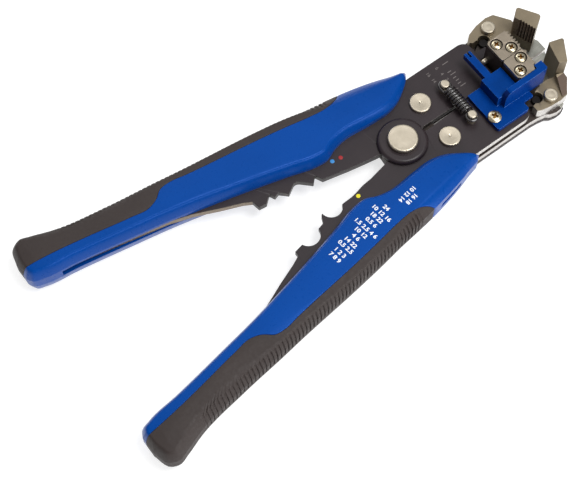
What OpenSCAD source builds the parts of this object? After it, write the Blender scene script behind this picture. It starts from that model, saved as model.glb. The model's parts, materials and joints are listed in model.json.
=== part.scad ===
// Automatic wire stripper: two halves on one main rivet, two jaw levers, two
// inner rockers with their cams, an extension spring and a sliding length stop.
// Origin: on the main rivet's axis, on the surface the tool lies on.
// +Y towards the head, +X right, +Z up. Left and right are as seen from above
// with the head pointing away.

/* [Plates] */
// Thickness of the black front plates
front_t = 2.5; // [2.4:0.05:2.6]
// Thickness of the plated carrier plates
carrier_t = 3; // [2.9:0.05:3]
// Thickness of the thin back covers
cover_t = 1.15; // [1:0.05:1.15]
// Height of the raised boss over the left plate's ear
boss_h = 1.9; // [1.6:0.1:2]
// Radius of the raised boss
boss_r = 9.3; // [9.2:0.05:9.4]

/* [Rivets] */
// Head radius of the main rivet
main_head_r = 5.5; // [5.2:0.1:5.8]
// Shank radius of the main rivet
main_shank_r = 3.2; // [3:0.1:3.2]
// Head radius of the plate rivets
plate_head_r = 4; // [3.8:0.1:4.2]
// Radius of the plate rivets' shoulder, on which the rockers turn
shoulder_r = 2.9; // [2.8:0.05:3]
// Head radius of the jaw rivets
jaw_head_r = 2.6; // [2.5:0.05:2.6]
// Radius of the spring posts
post_r = 1.7; // [1.6:0.05:1.7]

/* [Head] */
// Height of the tall jaws and blocks above the rest plane
tower_z = 21; // [20:0.5:21.5]
// Thickness of the top plates on the blocks
top_plate_t = 1.3; // [1.2:0.1:1.6]
// Number of teeth on the left top plate
n_teeth = 6; // [5:1:6]
// Number of stripping blades in the right block
n_blades = 7; // [6:1:8]
// Thickness of the jaw levers
lever_t = 4.9; // [4.8:0.05:4.9]
// Radius of the rocker's nose pin
nose_r = 1.6; // [1.5:0.05:1.6]
// Radius of the notch in the jaw lever
notch_r = 2.3; // [2.25:0.05:2.35]

/* [Handles] */
// Height of the handle shells where they are thickest
handle_h = 16.6; // [16.2:0.1:16.6]
// Wall of the soft grip
grip_wall = 2; // [1.8:0.1:2.2]
// Clearance of the plate in its pocket
pocket_c = 0.12; // [0.1:0.01:0.15]

/* [Spring and stop] */
// Outer radius of the return spring
spring_r = 2.5; // [2.4:0.05:2.6]
// Wire radius of the return spring
wire_r = 0.52; // [0.5:0.01:0.56]
// Turns of the return spring
spring_turns = 9; // [8:1:9]
// Travel of the length stop
stop_travel = 3.1; // [2.5:0.1:3.1]

/* [Hidden] */

// heights of the layers
cover_z = 1;
carrier_z = 2.2;
gap_z = 5.2;
front_z = 7.1;
front_top = front_z + front_t;
lever_z = 5.3;
ear_r = 7.6;
ear_c = 7.8;
fit = 0.02;
run = 0.05;

// pivots
plate_piv = [8.5, 15];
post_pos = [7.7, 25.5];
jaw_piv = [17.7, 54.5];
nose_pos = [15, 50.3];
main_swing = 20.4;
rocker_swing = 3.7;

// mirror an outline in the YZ plane, keeping its direction
function mir(p) = [for (i = [len(p) - 1:-1:0]) [-p[i][0], p[i][1]]];
// unit normal at point i of a closed outline that runs counter-clockwise
function nrm(p, i) = let (n = len(p), a = p[(i + n - 1) % n], b = p[i], c = p[(i + 1) % n],
  u = (b - a) / norm(b - a), v = (c - b) / norm(c - b),
  t = [u[1] + v[1], -u[0] - v[0]], k = t * t / 2) t / max(k, 0.6);
// outline moved in by d times each point's own weight
function inset(p, d, w) = [for (i = [0:len(p) - 1]) [p[i][0], p[i][1]] - d * (w == undef ? 1 : w[i]) * nrm([for (q = p) [q[0], q[1]]], i)];
function rot2(p, a) = [p[0] * cos(a) - p[1] * sin(a), p[0] * sin(a) + p[1] * cos(a)];

module plate(p, z, t) { translate([0, 0, z]) linear_extrude(t) polygon(p); }
module disc(r, z, t, at = [0, 0]) { translate([at[0], at[1], z]) cylinder(r = r, h = t, $fn = 48); }
module hole(r, at) { translate([at[0], at[1], -5]) cylinder(r = r, h = 40, $fn = 48); }

// ---- outlines, right half, counter-clockwise; the left half has its own tang

// handle: x, y, width of the bevel, at stations down the inner side
inner_pts = [
  [21, 18, 1.2], [19.5, 17, 1.2], [16.2, 13, 1.8], [13.4, 8, 2.2], [12.2, 3, 2.3], [12.3, -5, 2.3], [12.9, -17, 2.3],
  [12, -21.5, 2.3], [10.2, -26, 2.3], [10.5, -31, 2.3], [13, -40, 2.3], [15.7, -50, 2.3], [18.2, -60, 2.3],
  [20.6, -70, 2.3], [23.3, -82, 2.3], [26.6, -100, 2.3], [30, -120, 2.3], [31.7, -132, 2.3], [33, -135.6, 2.3], [35.2, -137, 2.3]];
// and at the matching stations down the outer side
outer_pts = [
  [22.4, 16.4, 1.4], [23.4, 12, 2.4], [24.6, 8, 3.2], [25.9, 3, 4], [27.6, -5, 4.4], [29.6, -17, 3.8], [30.4, -22, 2.8],
  [31.1, -26, 2.2], [31.9, -31, 1.8], [33.1, -40, 1.5], [34.5, -50, 1.6], [35.8, -60, 1.9], [37.1, -70, 2.2], [38.9, -82, 2.7],
  [41.3, -100, 3.3], [44.9, -120, 3.1], [47.6, -127.6, 3], [48.7, -131.4, 2.8], [47.2, -134.9, 2.6], [41.5, -137, 2.4]];
// what the top lies lower, and the bottom higher, than at the thickest place
drop = [3.4, 3, 2.6, 2.2, 1.8, 1.3, 0.9, 0.8, 0.7, 0.6, 0.6, 0.5, 0.4, 0.2, 0.1, 0, 0, 0.2, 0.4, 0.6];
// share of the rounder grip section at each station
round = [0, 0, 0, 0, 0, 0.3, 0.6, 0.8, 1, 1, 1, 1, 1, 1, 1, 1, 1, 1, 1, 1];
handle_pts = concat(inner_pts, [for (i = [len(outer_pts) - 1:-1:0]) outer_pts[i]]);
// the hard core under the soft grip starts a little behind the tip
core_pts = concat([for (i = [6:19]) inner_pts[i]], [for (i = [19:-1:6]) outer_pts[i]]);
handle_w = [for (p = handle_pts) p[2]];
handle_xy = [for (p = handle_pts) [p[0], p[1]]];
// plan of the soft grip, wider than the handle on the outer side
grip_plan = [
  [60, -4], [29, -7.2], [27.2, -9], [25.8, -12], [25.2, -16.5], [25.7, -22], [27.4, -32], [29, -42], [30.4, -52], [31.7, -62],
  [33.1, -71.6], [34.1, -77.5], [33.8, -81.5], [31.1, -85.4], [29.9, -89.4], [30.8, -96], [33.5, -111], [35.2, -121],
  [36.5, -130.7], [37.2, -145], [60, -145]];

// head end of a front plate, from the seam round to the handle, right half
head_pts = [
  [0.1, 44.6], [9.6, 44.6], [9.75, 49.8], [12.4, 49.8], [13, 49.2], [13, 45.1], [16.8, 45.1], [18.7, 43.9], [19.5, 42],
  [19.5, 18], [19.3, 15], [18.6, 5], [18.8, -10], [19.4, -25], [20.6, -40], [23.2, -58], [25.4, -72], [27, -82],
  [29, -93], [31.4, -105], [34, -118], [34.4, -123], [33.4, -125], [32, -124.4]];
// inner edge of the right tang, from the handle up to the pivot
tang_r = [
  [31.4, -120], [28.9, -108], [26.9, -98], [24.2, -84.7], [21.8, -77.1], [20.2, -73.2], [17.8, -67.8], [14.7, -60], [13, -56.5], [11.2, -56.5], [10.5, -53],
  [8.8, -48.9], [9, -44.5], [8.3, -42], [5.6, -40.8], [5, -40], [6.45, -32.2], [6.2, -27], [5, -22], [4.6, -18],
  [3.2, -11], [2.55, -9], [1.9, -6.8]];
// inner edge of the left tang, drawn on the right and mirrored later
tang_l = [
  [31.4, -120], [28.9, -108], [26.9, -98], [24.2, -84.7], [21.8, -77.1], [20.2, -73.2], [17.8, -67.8], [14.7, -60], [13, -57], [9.9, -56.5], [9.5, -53.5],
  [12, -50.5], [9.9, -49.5], [10.5, -47.5], [7.9, -44.8], [10.2, -41], [10, -39.5], [6, -35.4], [8.2, -33.2],
  [5.3, -31.8], [4.5, -28], [3.15, -22], [1.75, -14.5], [1.08, -10.5], [0.9, -8.8], [0.75, -6.8]];
function half_outline(tang) = concat([for (i = [len(tang) - 1:-1:0]) tang[i]], [for (i = [len(head_pts) - 1:-1:0]) head_pts[i]]);

// plated carrier under the jaws; the left one stands a little further forward
carrier_pts = [
  [18.5, 60.6], [21.3, 58.9], [22.2, 57], [22.3, 54.6], [21.7, 52.2], [20.6, 50.6],
  [20.1, 47.6], [19.8, 44], [19.8, 19], [18.9, 16.5], [15.7, 12.4], [13, 7.6], [11.9, 3], [11.9, -3.4], [9.6, -6.6], [6, -8.1]];
// the two carriers end on these rays below the pivot, which close on each other
carrier_r = concat([[0.1, 67.9], [3, 66.9], [7, 65.4], [13, 62.9]], carrier_pts, [[4.2, -7.4], [2.05, -7.4]]);
carrier_l = concat([[0.5, 69], [5, 69], [6.2, 68.4], [13, 63.4]], carrier_pts, [[4.2, -7.4], [0.8, -7.4]]);
cover_pts = [
  [0.1, 58], [17, 58], [18.6, 60.8], [21.6, 59.1], [22.5, 57.1], [22.6, 54.5], [22, 52], [20.9, 50.4], [20.4, 47.5], [20.1, 44],
  [20.1, 18.9], [19.2, 16.4], [15.9, 12.4], [13, 7.6], [11.8, 3], [11.7, -3.4], [9.4, -6.6], [6, -8]];
cover_r = concat(cover_pts, [[4.2, -7.4], [2.05, -7.4]]);
cover_l = concat(cover_pts, [[4.2, -7.4], [0.8, -7.4]]);

// bevelled loft of an outline: ring j lies at the share f[j] of the height
// between bottom and top, moved in by d and by its share of the bevel
body_f = [0, 0.08, 0.22, 0.4, 0.7, 0.83, 0.93, 1];
head_k = [1, 0.47, 0.05, 0, 0, 0.05, 0.47, 1];
grip_k = [1, 0.6, 0.22, 0, 0, 0.22, 0.6, 1];
module loft(p, w, d, f, k, lo, hi, s0) {
  n = len(p); m = len(f);
  function st(c) = s0 + (c < n / 2 ? c : n - 1 - c);
  rings = [for (j = [0:m - 1])
    let (q = inset(p, 1, [for (c = [0:n - 1]) d + w[c] * (k == undef ? head_k[j] + (grip_k[j] - head_k[j]) * round[st(c)] : k[j])]))
    [for (c = [0:n - 1]) let (b = drop[st(c)] + lo, t = handle_h - drop[st(c)] - hi) [q[c][0], q[c][1], b + f[j] * (t - b)]]];
  // each stretch between two stations is the hull of its corners
  for (i = [0:n / 2 - 2]) hull() {
    at = [for (r = rings) for (c = [i, i + 1, n - 2 - i, n - 1 - i]) r[c]];
    polyhedron(points = at, faces = [[for (c = [0:len(at) - 1]) c]]);
  }
}
module handle_body() loft(handle_xy, handle_w, 0, body_f, undef, 0, 0, 0);
module handle_core() loft([for (p = core_pts) [p[0], p[1]]], [for (p = core_pts) p[2]], grip_wall, [0, 0.2, 0.75, 1], [0.6, 0.05, 0.05, 0.5], grip_wall, grip_wall, 6);
module grip_space() plate([for (i = [len(grip_plan) - 1:-1:0]) grip_plan[i]], -1, 20);
module grip_shape() difference() {
  intersection() { handle_body(); grip_space(); }
  handle_core();
}
// pocket that the tang sits in, with the open slot along the inner side
module tang_pocket(tang) {
  plate(inset(half_outline(tang), -pocket_c), front_z - 0.1, front_t + 0.2);
  plate([[20.8, -77], [22, -82], [25.4, -100], [28.9, -120], [29.8, -125.4], [32.2, -125.4], [31.6, -120], [28.2, -100],
    [24.8, -82], [23.6, -77]], front_z - 0.3, front_t + 0.9);
}
module handle_shell(tang) difference() {
  union() { difference() { handle_body(); grip_space(); } handle_core(); }
  tang_pocket(tang);
}
module handle_grip(tang) difference() { grip_shape(); tang_pocket(tang); }

// ---- plates
module left_plate_2d() difference() {
  union() {
    difference() { polygon(mir(half_outline(tang_l))); circle(r = ear_c, $fn = 48); }
    circle(r = ear_r, $fn = 48);
    polygon([[-8.6, 7], [-8.6, -5], [-2.2, -7.6], [-1.5, 0], [-0.1, 8.4], [-0.1, 10]]);
  }
  circle(r = main_shank_r + fit, $fn = 48);
}
module left_front_plate() color("#2c2827") difference() {
  plate_left();
  hole(2.5 + fit, [-plate_piv[0], plate_piv[1]]);
  hole(1.2 + fit, [-post_pos[0], post_pos[1]]);
  translate([-9.3, -1.6, front_z - 1]) cylinder(r = 0.92, h = 2.2, $fn = 32);
}
module plate_left() translate([0, 0, front_z]) linear_extrude(front_t) left_plate_2d();

module right_front_plate() color("#2c2827") difference() {
  union() {
    difference() {
      plate(half_outline(tang_r), front_z, front_t);
      disc(ear_c, front_z - 1, front_t + 1.1);
      disc(4.05, front_z - 1, front_t + 2, [5, -36]);
      disc(4.3, front_z - 1, front_t + 2, [8.8, -48.9]);
    }
    difference() {
      union() {
        disc(boss_r, front_top + 0.1, boss_h - 0.7);
        translate([0, 0, front_top + boss_h - 0.6]) cylinder(r1 = boss_r, r2 = boss_r - 1.3, h = 0.6, $fn = 48);
        intersection() {
          disc(boss_r, front_z, front_t + 0.2);
          plate([[0.1, 0], [2.05, -7.4], [2.7, -9.6], [14, -9.6], [14, 14], [0.1, 14]], front_z, 6);
        }
      }
      disc(ear_c, front_z - 1, front_t + 1.1);
      translate([-0.9, 8.3, front_top]) cube([1.8, 2, 5]);
    }
  }
  hole(main_shank_r + run, [0, 0]);
  hole(2.5 + fit, plate_piv);
  hole(1.2 + fit, post_pos);
  // slot for the length stop's clamp screw
  translate([12.6, 32.2, front_z - 1]) cylinder(r = 1.35, h = 6, $fn = 32);
  translate([12.6 + stop_travel, 32.2, front_z - 1]) cylinder(r = 1.35, h = 6, $fn = 32);
  translate([12.6, 30.85, front_z - 1]) cube([stop_travel, 2.7, 6]);
}

module carrier_holes(s) {
  hole(2.5 + fit, [s * plate_piv[0], plate_piv[1]]);
  hole(1.9 + fit, [s * jaw_piv[0], jaw_piv[1]]);
}
module left_carrier_plate() color("#c9c9c6") difference() {
  union() {
    difference() { plate(mir([for (i = [len(carrier_l) - 1:-1:0]) carrier_l[i]]), carrier_z, carrier_t); disc(ear_c, carrier_z - 1, 2.55); }
    disc(ear_r, carrier_z + 1.55, carrier_t - 1.55);
  }
  hole(main_shank_r + fit, [0, 0]);
  carrier_holes(-1);
}
module right_carrier_plate() color("#c9c9c6") difference() {
  union() {
    difference() { plate([for (i = [len(carrier_r) - 1:-1:0]) carrier_r[i]], carrier_z, carrier_t); disc(ear_c, carrier_z + 1.4, carrier_t); }
    disc(ear_r, carrier_z, 1.45);
  }
  hole(main_shank_r + run, [0, 0]);
  carrier_holes(1);
  translate([9.3, -1.6, carrier_z + 1]) cylinder(r = 0.92, h = 5, $fn = 32);
}
module left_back_cover() color("#242122") difference() {
  union() { plate(mir([for (i = [len(cover_l) - 1:-1:0]) cover_l[i]]), cover_z, cover_t); disc(ear_r, cover_z, cover_t); }
  hole(main_shank_r + fit, [0, 0]);
  hole(2.5 + fit, [-plate_piv[0], plate_piv[1]]);
  hole(jaw_head_r + 0.5, [-jaw_piv[0], jaw_piv[1]]);
}
module right_back_cover() color("#242122") difference() {
  plate([for (i = [len(cover_r) - 1:-1:0]) cover_r[i]], cover_z, cover_t);
  disc(ear_c, 0, 4);
  hole(2.5 + fit, plate_piv);
  hole(jaw_head_r + 0.5, jaw_piv);
}

// ---- rivets and posts
module main_rivet() color("#c8bfb0") {
  disc(main_shank_r, 0.3, front_top + boss_h + 0.3);
  translate([0, 0, front_top + boss_h + 0.05]) rotate_extrude($fn = 64)
    polygon([[0, 0], [main_head_r - 0.15, 0], [main_head_r, 0.2], [main_head_r, 1.05], [main_head_r - 0.5, 1.5], [main_head_r - 1, 1.6], [0, 1.7]]);
  rotate_extrude($fn = 64) polygon([[0, 0], [main_head_r - 0.5, 0], [main_head_r, 0.4], [main_head_r, 0.95], [0, 0.95]]);
}
module plate_rivet(s) color("#c8bfb0") translate([s * plate_piv[0], plate_piv[1], 0]) {
  disc(2.5, 0.5, front_top);
  disc(shoulder_r, gap_z, front_z - gap_z);
  translate([0, 0, front_top]) rotate_extrude($fn = 64)
    polygon([[0, 0], [plate_head_r, 0], [plate_head_r, 0.7], [plate_head_r - 0.5, 1.15], [0.5, 1.2], [0.3, 1], [0, 1]]);
  translate([0, 0, 0.1]) rotate_extrude($fn = 64)
    polygon([[0, 0], [plate_head_r - 0.4, 0], [plate_head_r, 0.3], [plate_head_r, 0.9], [0, 0.9]]);
}
module left_plate_rivet() plate_rivet(-1);
module right_plate_rivet() plate_rivet(1);
module spring_post(s) color("#d8cfbc") translate([s * post_pos[0], post_pos[1], 0]) rotate_extrude($fn = 48)
  polygon([[0, front_z], [1.2, front_z], [1.2, front_top], [post_r, front_top], [post_r, 12], [post_r - 0.3, 12.2],
    [post_r - 0.3, 13.4], [post_r, 13.6], [post_r, 14.1], [post_r - 0.4, 14.5], [0, 14.5]]);
module left_spring_post() spring_post(-1);
module right_spring_post() spring_post(1);
module jaw_rivet(s) color("#c8bfb0") translate([s * jaw_piv[0], jaw_piv[1], 0]) rotate_extrude($fn = 48)
  polygon([[0, 1], [jaw_head_r + 0.15, 1], [jaw_head_r + 0.35, 1.3], [jaw_head_r + 0.35, carrier_z], [1.9, carrier_z], [1.9, 10.25],
    [jaw_head_r, 10.25], [jaw_head_r, 11.9], [jaw_head_r - 0.4, 12.3], [0, 12.3]]);
module left_jaw_rivet() jaw_rivet(-1);
module right_jaw_rivet() jaw_rivet(1);

// ---- handles
module left_handle_shell() color("#0b4fb8") mirror([1, 0, 0]) handle_shell(tang_l);
module right_handle_shell() color("#0b4fb8") handle_shell(tang_r);
module left_handle_grip() color("#4a4440") mirror([1, 0, 0]) handle_grip(tang_l);
module right_handle_grip() color("#4a4440") handle_grip(tang_r);

// ---- blocks
screws = [[2.6, 51.3], [6.7, 47.7]];
module screw_bores(s, r, z) for (p = screws) translate([s * p[0], p[1], z]) cylinder(r = r, h = 30, $fn = 32);
module left_block() color("#2a2423") difference() {
  plate([[-9.2, 45.3], [-0.2, 45.3], [-0.2, 53.4], [-9.2, 53.4]], gap_z, tower_z - top_plate_t - gap_z);
  screw_bores(-1, 1.22, 11);
  translate([-7.6, 44.5, 11]) rotate([-90, 0, 0]) cylinder(r = 1.12, h = 2, $fn = 32);
}
module right_block() color("#2a2423") difference() {
  plate([[0.2, 45.3], [9.2, 45.3], [9.2, 52], [7.4, 52.7], [7.4, 53.4], [0.2, 53.4]], gap_z, tower_z - top_plate_t - gap_z);
  screw_bores(1, 1.22, 11);
}
module block_screw_recess(s) {
  screw_bores(s, 1.22, 10);
  screw_bores(s, 2.3, tower_z - 0.75);
}
module left_block_plate() color("#80746a") difference() {
  plate(concat([[-0.1, 54], [-0.1, 45.6], [-0.6, 45], [-8.4, 45], [-9.4, 46], [-9.4, 54]],
      [for (i = [0:n_teeth * 2]) [-8.9 + i * 7.6 / (n_teeth * 2), i % 2 == 0 ? 53.8 : 54.9]]),
    tower_z - top_plate_t, top_plate_t);
  block_screw_recess(-1);
}
module right_block_plate() color("#80746a") difference() {
  plate([[0.1, 45.6], [0.6, 45], [8.4, 45], [9.4, 46], [9.4, 52.2], [7.6, 53], [7.5, 54], [2.4, 54], [1.9, 54.7], [1.2, 54.7], [0.7, 54], [0.1, 54]],
    tower_z - top_plate_t, top_plate_t);
  block_screw_recess(1);
}
module block_screws(s) color("#d9cfb4") for (p = screws) translate([s * p[0], p[1], 0]) difference() {
  union() {
    translate([0, 0, 12]) cylinder(r = 1.2, h = tower_z - 12 - 0.5, $fn = 32);
    translate([0, 0, tower_z - 0.74]) rotate_extrude($fn = 48) polygon([[0, 0], [1.95, 0], [1.95, 0.6], [1.45, 1], [0, 1.1]]);
  }
  for (a = [20, 110]) rotate(a) translate([-1, -0.22, tower_z - 0.35]) cube([2, 0.44, 3]);
}
module left_block_screws() block_screws(-1);
module right_block_screws() block_screws(1);
// serrated pad on the left block's front face
module left_grip_pad() color("#5c534d") plate(concat([[-1, 53.45], [-8.9, 53.45]],
    [for (i = [0:14]) [-8.9 + i * 7.9 / 14, i % 2 == 0 ? 53.8 : 54.15]]), 10.6, tower_z - top_plate_t - 10.7);
// stack of stripping blades in the right block's front face
module right_blade_pack() color("#a9a7a2") for (i = [0:n_blades - 1])
  plate([[0.9 + i * 0.9, 53.45], [1.5 + i * 0.9, 53.45], [1.5 + i * 0.9, 54.1], [1.2 + i * 0.9, 54.3], [0.9 + i * 0.9, 54.1]],
    10.6, tower_z - top_plate_t - 10.7);
module adjuster_pin() color("#cfc9bd") translate([-7.6, 44.2, 11]) rotate([-90, 0, 0]) {
  cylinder(r = 1.1, h = 2.1, $fn = 32);
  translate([0, 0, 0]) sphere(r = 1.1, $fn = 32);
}

// ---- cams: each follows the far half's rocker tip through the whole swing
tip_r = 1.4;
tip0 = [4, 8.2];
function tip_at(t) = let (c = [-plate_piv[0], plate_piv[1]]) rot2(tip0 - c, rocker_swing * t) + c;
function cam_pt(t) = let (q = rot2(tip_at(t), main_swing * t)) q * (1 - (tip_r + 0.14) / norm(q));
module cam_shape(z) difference() {
  union() {
    disc(6, z, 0.8);
    plate(concat([[0, 0], cam_pt(-0.35) * 0.9], [for (t = [-0.3:0.1:1.35]) cam_pt(t)], [cam_pt(1.5) * 0.9]), z, 0.8);
    plate([[0, -1.6], [9.3, -2.9], [10.5, -2.5], [10.5, -0.8], [9.3, -0.3], [0, 1.6]], z, 0.8);
  }
  translate([9.3, -1.6, z - 1]) cylinder(r = 0.92, h = 3, $fn = 32);
}
module right_cam() color("#6f6c6a") difference() { cam_shape(5.3); hole(main_shank_r + run, [0, 0]); }
module left_cam() color("#6f6c6a") difference() { mirror([1, 0, 0]) cam_shape(6.2); hole(main_shank_r + fit, [0, 0]); }
module right_cam_key() color("#6f6c6a") translate([9.3, -1.6, 3.3]) cylinder(r = 0.9, h = 2.75, $fn = 32);
module left_cam_key() color("#6f6c6a") translate([-9.3, -1.6, 6.25]) cylinder(r = 0.9, h = 2, $fn = 32);

// ---- rockers, drawn on the left
front_arm = [[-12.4, 16], [-9, 27], [-8.8, 36], [-15.2, 47.2], [-16.4, 49.6], [-15, 50.3], [-13.4, 50.1], [-9.9, 45],
  [-4.6, 37], [-4.5, 20], [-5, 15]];
rear_arm = [[-12, 13], [-8, 10.8], [-4, 10.8], [0, 10.5], [2.3, 10.1], [2.7, 8.7], [4, 6.9], [5.4, 8.4], [5.7, 10.2], [5, 12.4], [0, 14.6], [-5.5, 17.5]];
module rocker(z_rear) difference() {
  union() {
    disc(4, 5.3, 1.7, [-plate_piv[0], plate_piv[1]]);
    plate(front_arm, 5.3, 1.7);
    disc(nose_r, 5.3, 1.7, [-nose_pos[0], nose_pos[1]]);
    difference() {
      union() { plate(rear_arm, z_rear, 0.8); disc(tip_r, z_rear, 0.8, tip0); }
      translate([4, 8.2, 0]) difference() { translate([-3, -3, 0]) cube([6, 2.4, 12]); disc(tip_r, 0, 12); }
    }
  }
  hole(shoulder_r + run, [-plate_piv[0], plate_piv[1]]);
  translate([-nose_pos[0], nose_pos[1], 5.9]) cylinder(r = 1.02, h = 5, $fn = 32);
}
module left_rocker() color("#4b4846") rocker(5.3);
module right_rocker() color("#4b4846") mirror([1, 0, 0]) rocker(6.2);
module rocker_pin(s) color("#8d8982") translate([s * nose_pos[0], nose_pos[1], 0]) {
  translate([0, 0, 5.95]) cylinder(r = 1, h = 1.2, $fn = 32);
  translate([0, 0, 7.05]) cylinder(r = nose_r, h = 1.6, $fn = 48);
}
module left_rocker_pin() rocker_pin(-1);
module right_rocker_pin() rocker_pin(1);

// ---- jaw levers
lever_l = [[-21.6, 60.2], [-22.2, 57], [-21.6, 52], [-20.2, 47.6], [-18.8, 45.9], [-17.4, 45.6], [-16.6, 46.4], [-16.7, 48.2],
  [-15, 50.3], [-12.4, 51.4], [-12, 53.2], [-11.6, 55.5], [-10.9, 58], [-11.1, 60.5], [-3, 63.2], [-6.5, 68.9], [-14.4, 64.1], [-15.8, 64.2]];
jaw_l = [[-14.6, 63.8], [-11.6, 60.4], [-3, 63.2], [-6.5, 68.9]];
lever_r = [[20.6, 60.2], [21.1, 57], [20.8, 52], [20.1, 48.4], [19.4, 47], [16.9, 47], [16.7, 48.2],
  [15, 50.3], [12.6, 51.4], [12.2, 53.2], [11.8, 55.5], [11.4, 58], [12.7, 60.8], [3.9, 63.3], [5.6, 69], [13.9, 63.9], [16, 63.9]];
jaw_r = [[13.9, 63.7], [12.7, 60.8], [3.9, 63.3], [5.6, 69]];
module lever_base(p, s) difference() {
  plate(p, lever_z, lever_t);
  translate([s * nose_pos[0], nose_pos[1], 0]) cylinder(r = notch_r, h = 40, $fn = 48);
  hole(1.9 + run, [s * jaw_piv[0], jaw_piv[1]]);
}
module left_jaw() color("#7a6e62") union() {
  lever_base(lever_l, -1);
  difference() {
    plate(jaw_l, lever_z, tower_z - lever_z);
    for (i = [1:6]) translate([-10.2 + i * 1.12, 60.9 + i * 0.356, lever_z + 5.2]) rotate(17.6 + 45) translate([-0.37, -0.37, 0]) cube([0.74, 0.74, 20]);
  }
}
module right_jaw() color("#7a6e62") union() {
  lever_base(lever_r, 1);
  plate(jaw_r, lever_z, tower_z - lever_z);
  // web that stiffens the jaw, falling towards the outer corner
  intersection() {
    plate([[12.9, 60.9], [20.4, 57.9], [20.5, 60], [16, 63.7], [13.8, 63.7]], lever_z, 20);
    translate([0, 80, 0]) rotate([90, 0, 0]) linear_extrude(40) polygon([[12, 9], [21.2, 9], [21, 10.4], [20.2, 10.8], [14, 12.9], [12, 13.1]]);
  }
}

// ---- return spring, coils as touching rings with a hook at each end
module spring_ring(x) translate([x, post_pos[1], 12.8]) rotate([0, 90, 0]) rotate_extrude($fn = 32) translate([spring_r - wire_r, 0]) circle(r = wire_r, $fn = 16);
module hook_ring(x) translate([x, post_pos[1], 12.8]) rotate_extrude($fn = 48) translate([post_r + wire_r + 0.1, 0]) circle(r = wire_r, $fn = 16);
module return_spring() color("#1e1c1c") union() {
  for (i = [0:spring_turns - 1]) spring_ring(-4.9 + i * 9.8 / (spring_turns - 1));
  translate([-6.2, post_pos[1] + 1.86, 12.8]) rotate([0, 90, 0]) cylinder(r = wire_r, h = 8.6, $fn = 16);
  translate([-2, post_pos[1] - 1.86, 12.8]) rotate([0, 90, 0]) cylinder(r = wire_r, h = 8.2, $fn = 16);
  hook_ring(-post_pos[0]);
  hook_ring(post_pos[0]);
}

// ---- length stop
module wire_stop() color("#0a47a8") difference() {
  union() {
    plate([[0, 30], [17.4, 30], [17.4, 44.6], [9.4, 44.6], [9.4, 44.7], [0, 44.7]], 9.7, 1.9);
    plate([[11.6, 44], [14.2, 44], [14.2, 49.2], [11.6, 49.2]], 10.5, 1.1);
    plate([[0, 35.7], [9.6, 35.7], [9.6, 44.7], [0, 44.7]], 9.7, 7.3);
    plate([[-12, 37.4], [0.5, 37.4], [0.5, 40.2], [-12, 40.2]], 14.2, 2.8);
    // wall that the wire's end meets, with its rounded rear corner
    translate([9.5, 0, 0]) rotate([90, 0, 90]) linear_extrude(2.2)
      polygon(concat([[37.4, 9.8]], [for (a = [0:15:90]) [40.6 - 3.2 * cos(a), 17.4 + 3.2 * sin(a)]],
        [[56.5, 20.6], [56.5, 10.6], [44.7, 10.6], [44.6, 9.8]]));
    plate([[7.8, 53.2], [9.6, 53.2], [9.6, 56.5], [7.8, 56.5]], 10.6, 10);
  }
  translate([12.6, 32.2, 5]) cylinder(r = 1.25, h = 10, $fn = 32);
  translate([-13, 38.5, 14]) cube([3.4, 0.8, 4]);
}
module wire_stop_screw() color("#d9cfb4") translate([12.6, 32.2, 0]) difference() {
  union() {
    translate([0, 0, 5.3]) cylinder(r = 1.2, h = 6.6, $fn = 32);
    translate([0, 0, 11.65]) rotate_extrude($fn = 48) polygon([[0, 0], [2.5, 0], [2.5, 0.6], [1.9, 1.1], [0, 1.3]]);
  }
  for (a = [35, 125]) rotate(a) translate([-1.3, -0.3, 12.3]) cube([2.6, 0.6, 3]);
}
module wire_stop_nut() color("#8d8982") difference() {
  translate([10.6, 30.2, 5.3]) cube([4, 4, 1.7]);
  hole(1.22, [12.6, 32.2]);
}

left_front_plate();
left_carrier_plate();
left_back_cover();
main_rivet();
left_plate_rivet();
left_spring_post();
left_jaw_rivet();
left_handle_shell();
left_handle_grip();
left_block();
left_block_plate();
left_block_screws();
left_grip_pad();
left_cam();
left_cam_key();
return_spring();
adjuster_pin();
right_front_plate();
right_carrier_plate();
right_back_cover();
right_plate_rivet();
right_spring_post();
right_jaw_rivet();
right_handle_shell();
right_handle_grip();
right_block();
right_block_plate();
right_block_screws();
right_blade_pack();
right_cam();
right_cam_key();
left_jaw();
right_jaw();
left_rocker();
left_rocker_pin();
right_rocker();
right_rocker_pin();
wire_stop();
wire_stop_screw();
wire_stop_nut();
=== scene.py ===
import json
import math

import bmesh
import bpy
import numpy as np
from mathutils import Matrix, Vector
from mathutils.bvhtree import BVHTree
from mathutils.geometry import tessellate_polygon


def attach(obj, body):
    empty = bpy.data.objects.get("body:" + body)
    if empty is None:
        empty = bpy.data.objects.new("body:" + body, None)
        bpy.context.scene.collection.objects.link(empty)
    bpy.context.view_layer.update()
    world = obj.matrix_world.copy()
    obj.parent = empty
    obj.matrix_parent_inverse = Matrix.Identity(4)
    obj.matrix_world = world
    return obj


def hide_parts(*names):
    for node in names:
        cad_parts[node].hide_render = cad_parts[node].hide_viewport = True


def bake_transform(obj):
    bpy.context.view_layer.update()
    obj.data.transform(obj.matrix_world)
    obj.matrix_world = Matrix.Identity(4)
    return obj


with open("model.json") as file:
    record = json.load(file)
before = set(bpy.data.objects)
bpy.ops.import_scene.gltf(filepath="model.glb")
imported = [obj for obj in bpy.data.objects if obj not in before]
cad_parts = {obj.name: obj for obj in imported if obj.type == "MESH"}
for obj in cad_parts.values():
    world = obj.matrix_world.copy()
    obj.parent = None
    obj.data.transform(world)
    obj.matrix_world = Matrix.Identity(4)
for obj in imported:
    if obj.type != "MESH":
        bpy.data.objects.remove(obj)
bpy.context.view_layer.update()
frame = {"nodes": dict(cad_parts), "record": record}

MM = 0.001
scene = bpy.context.scene
NODES = frame["nodes"]
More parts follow.
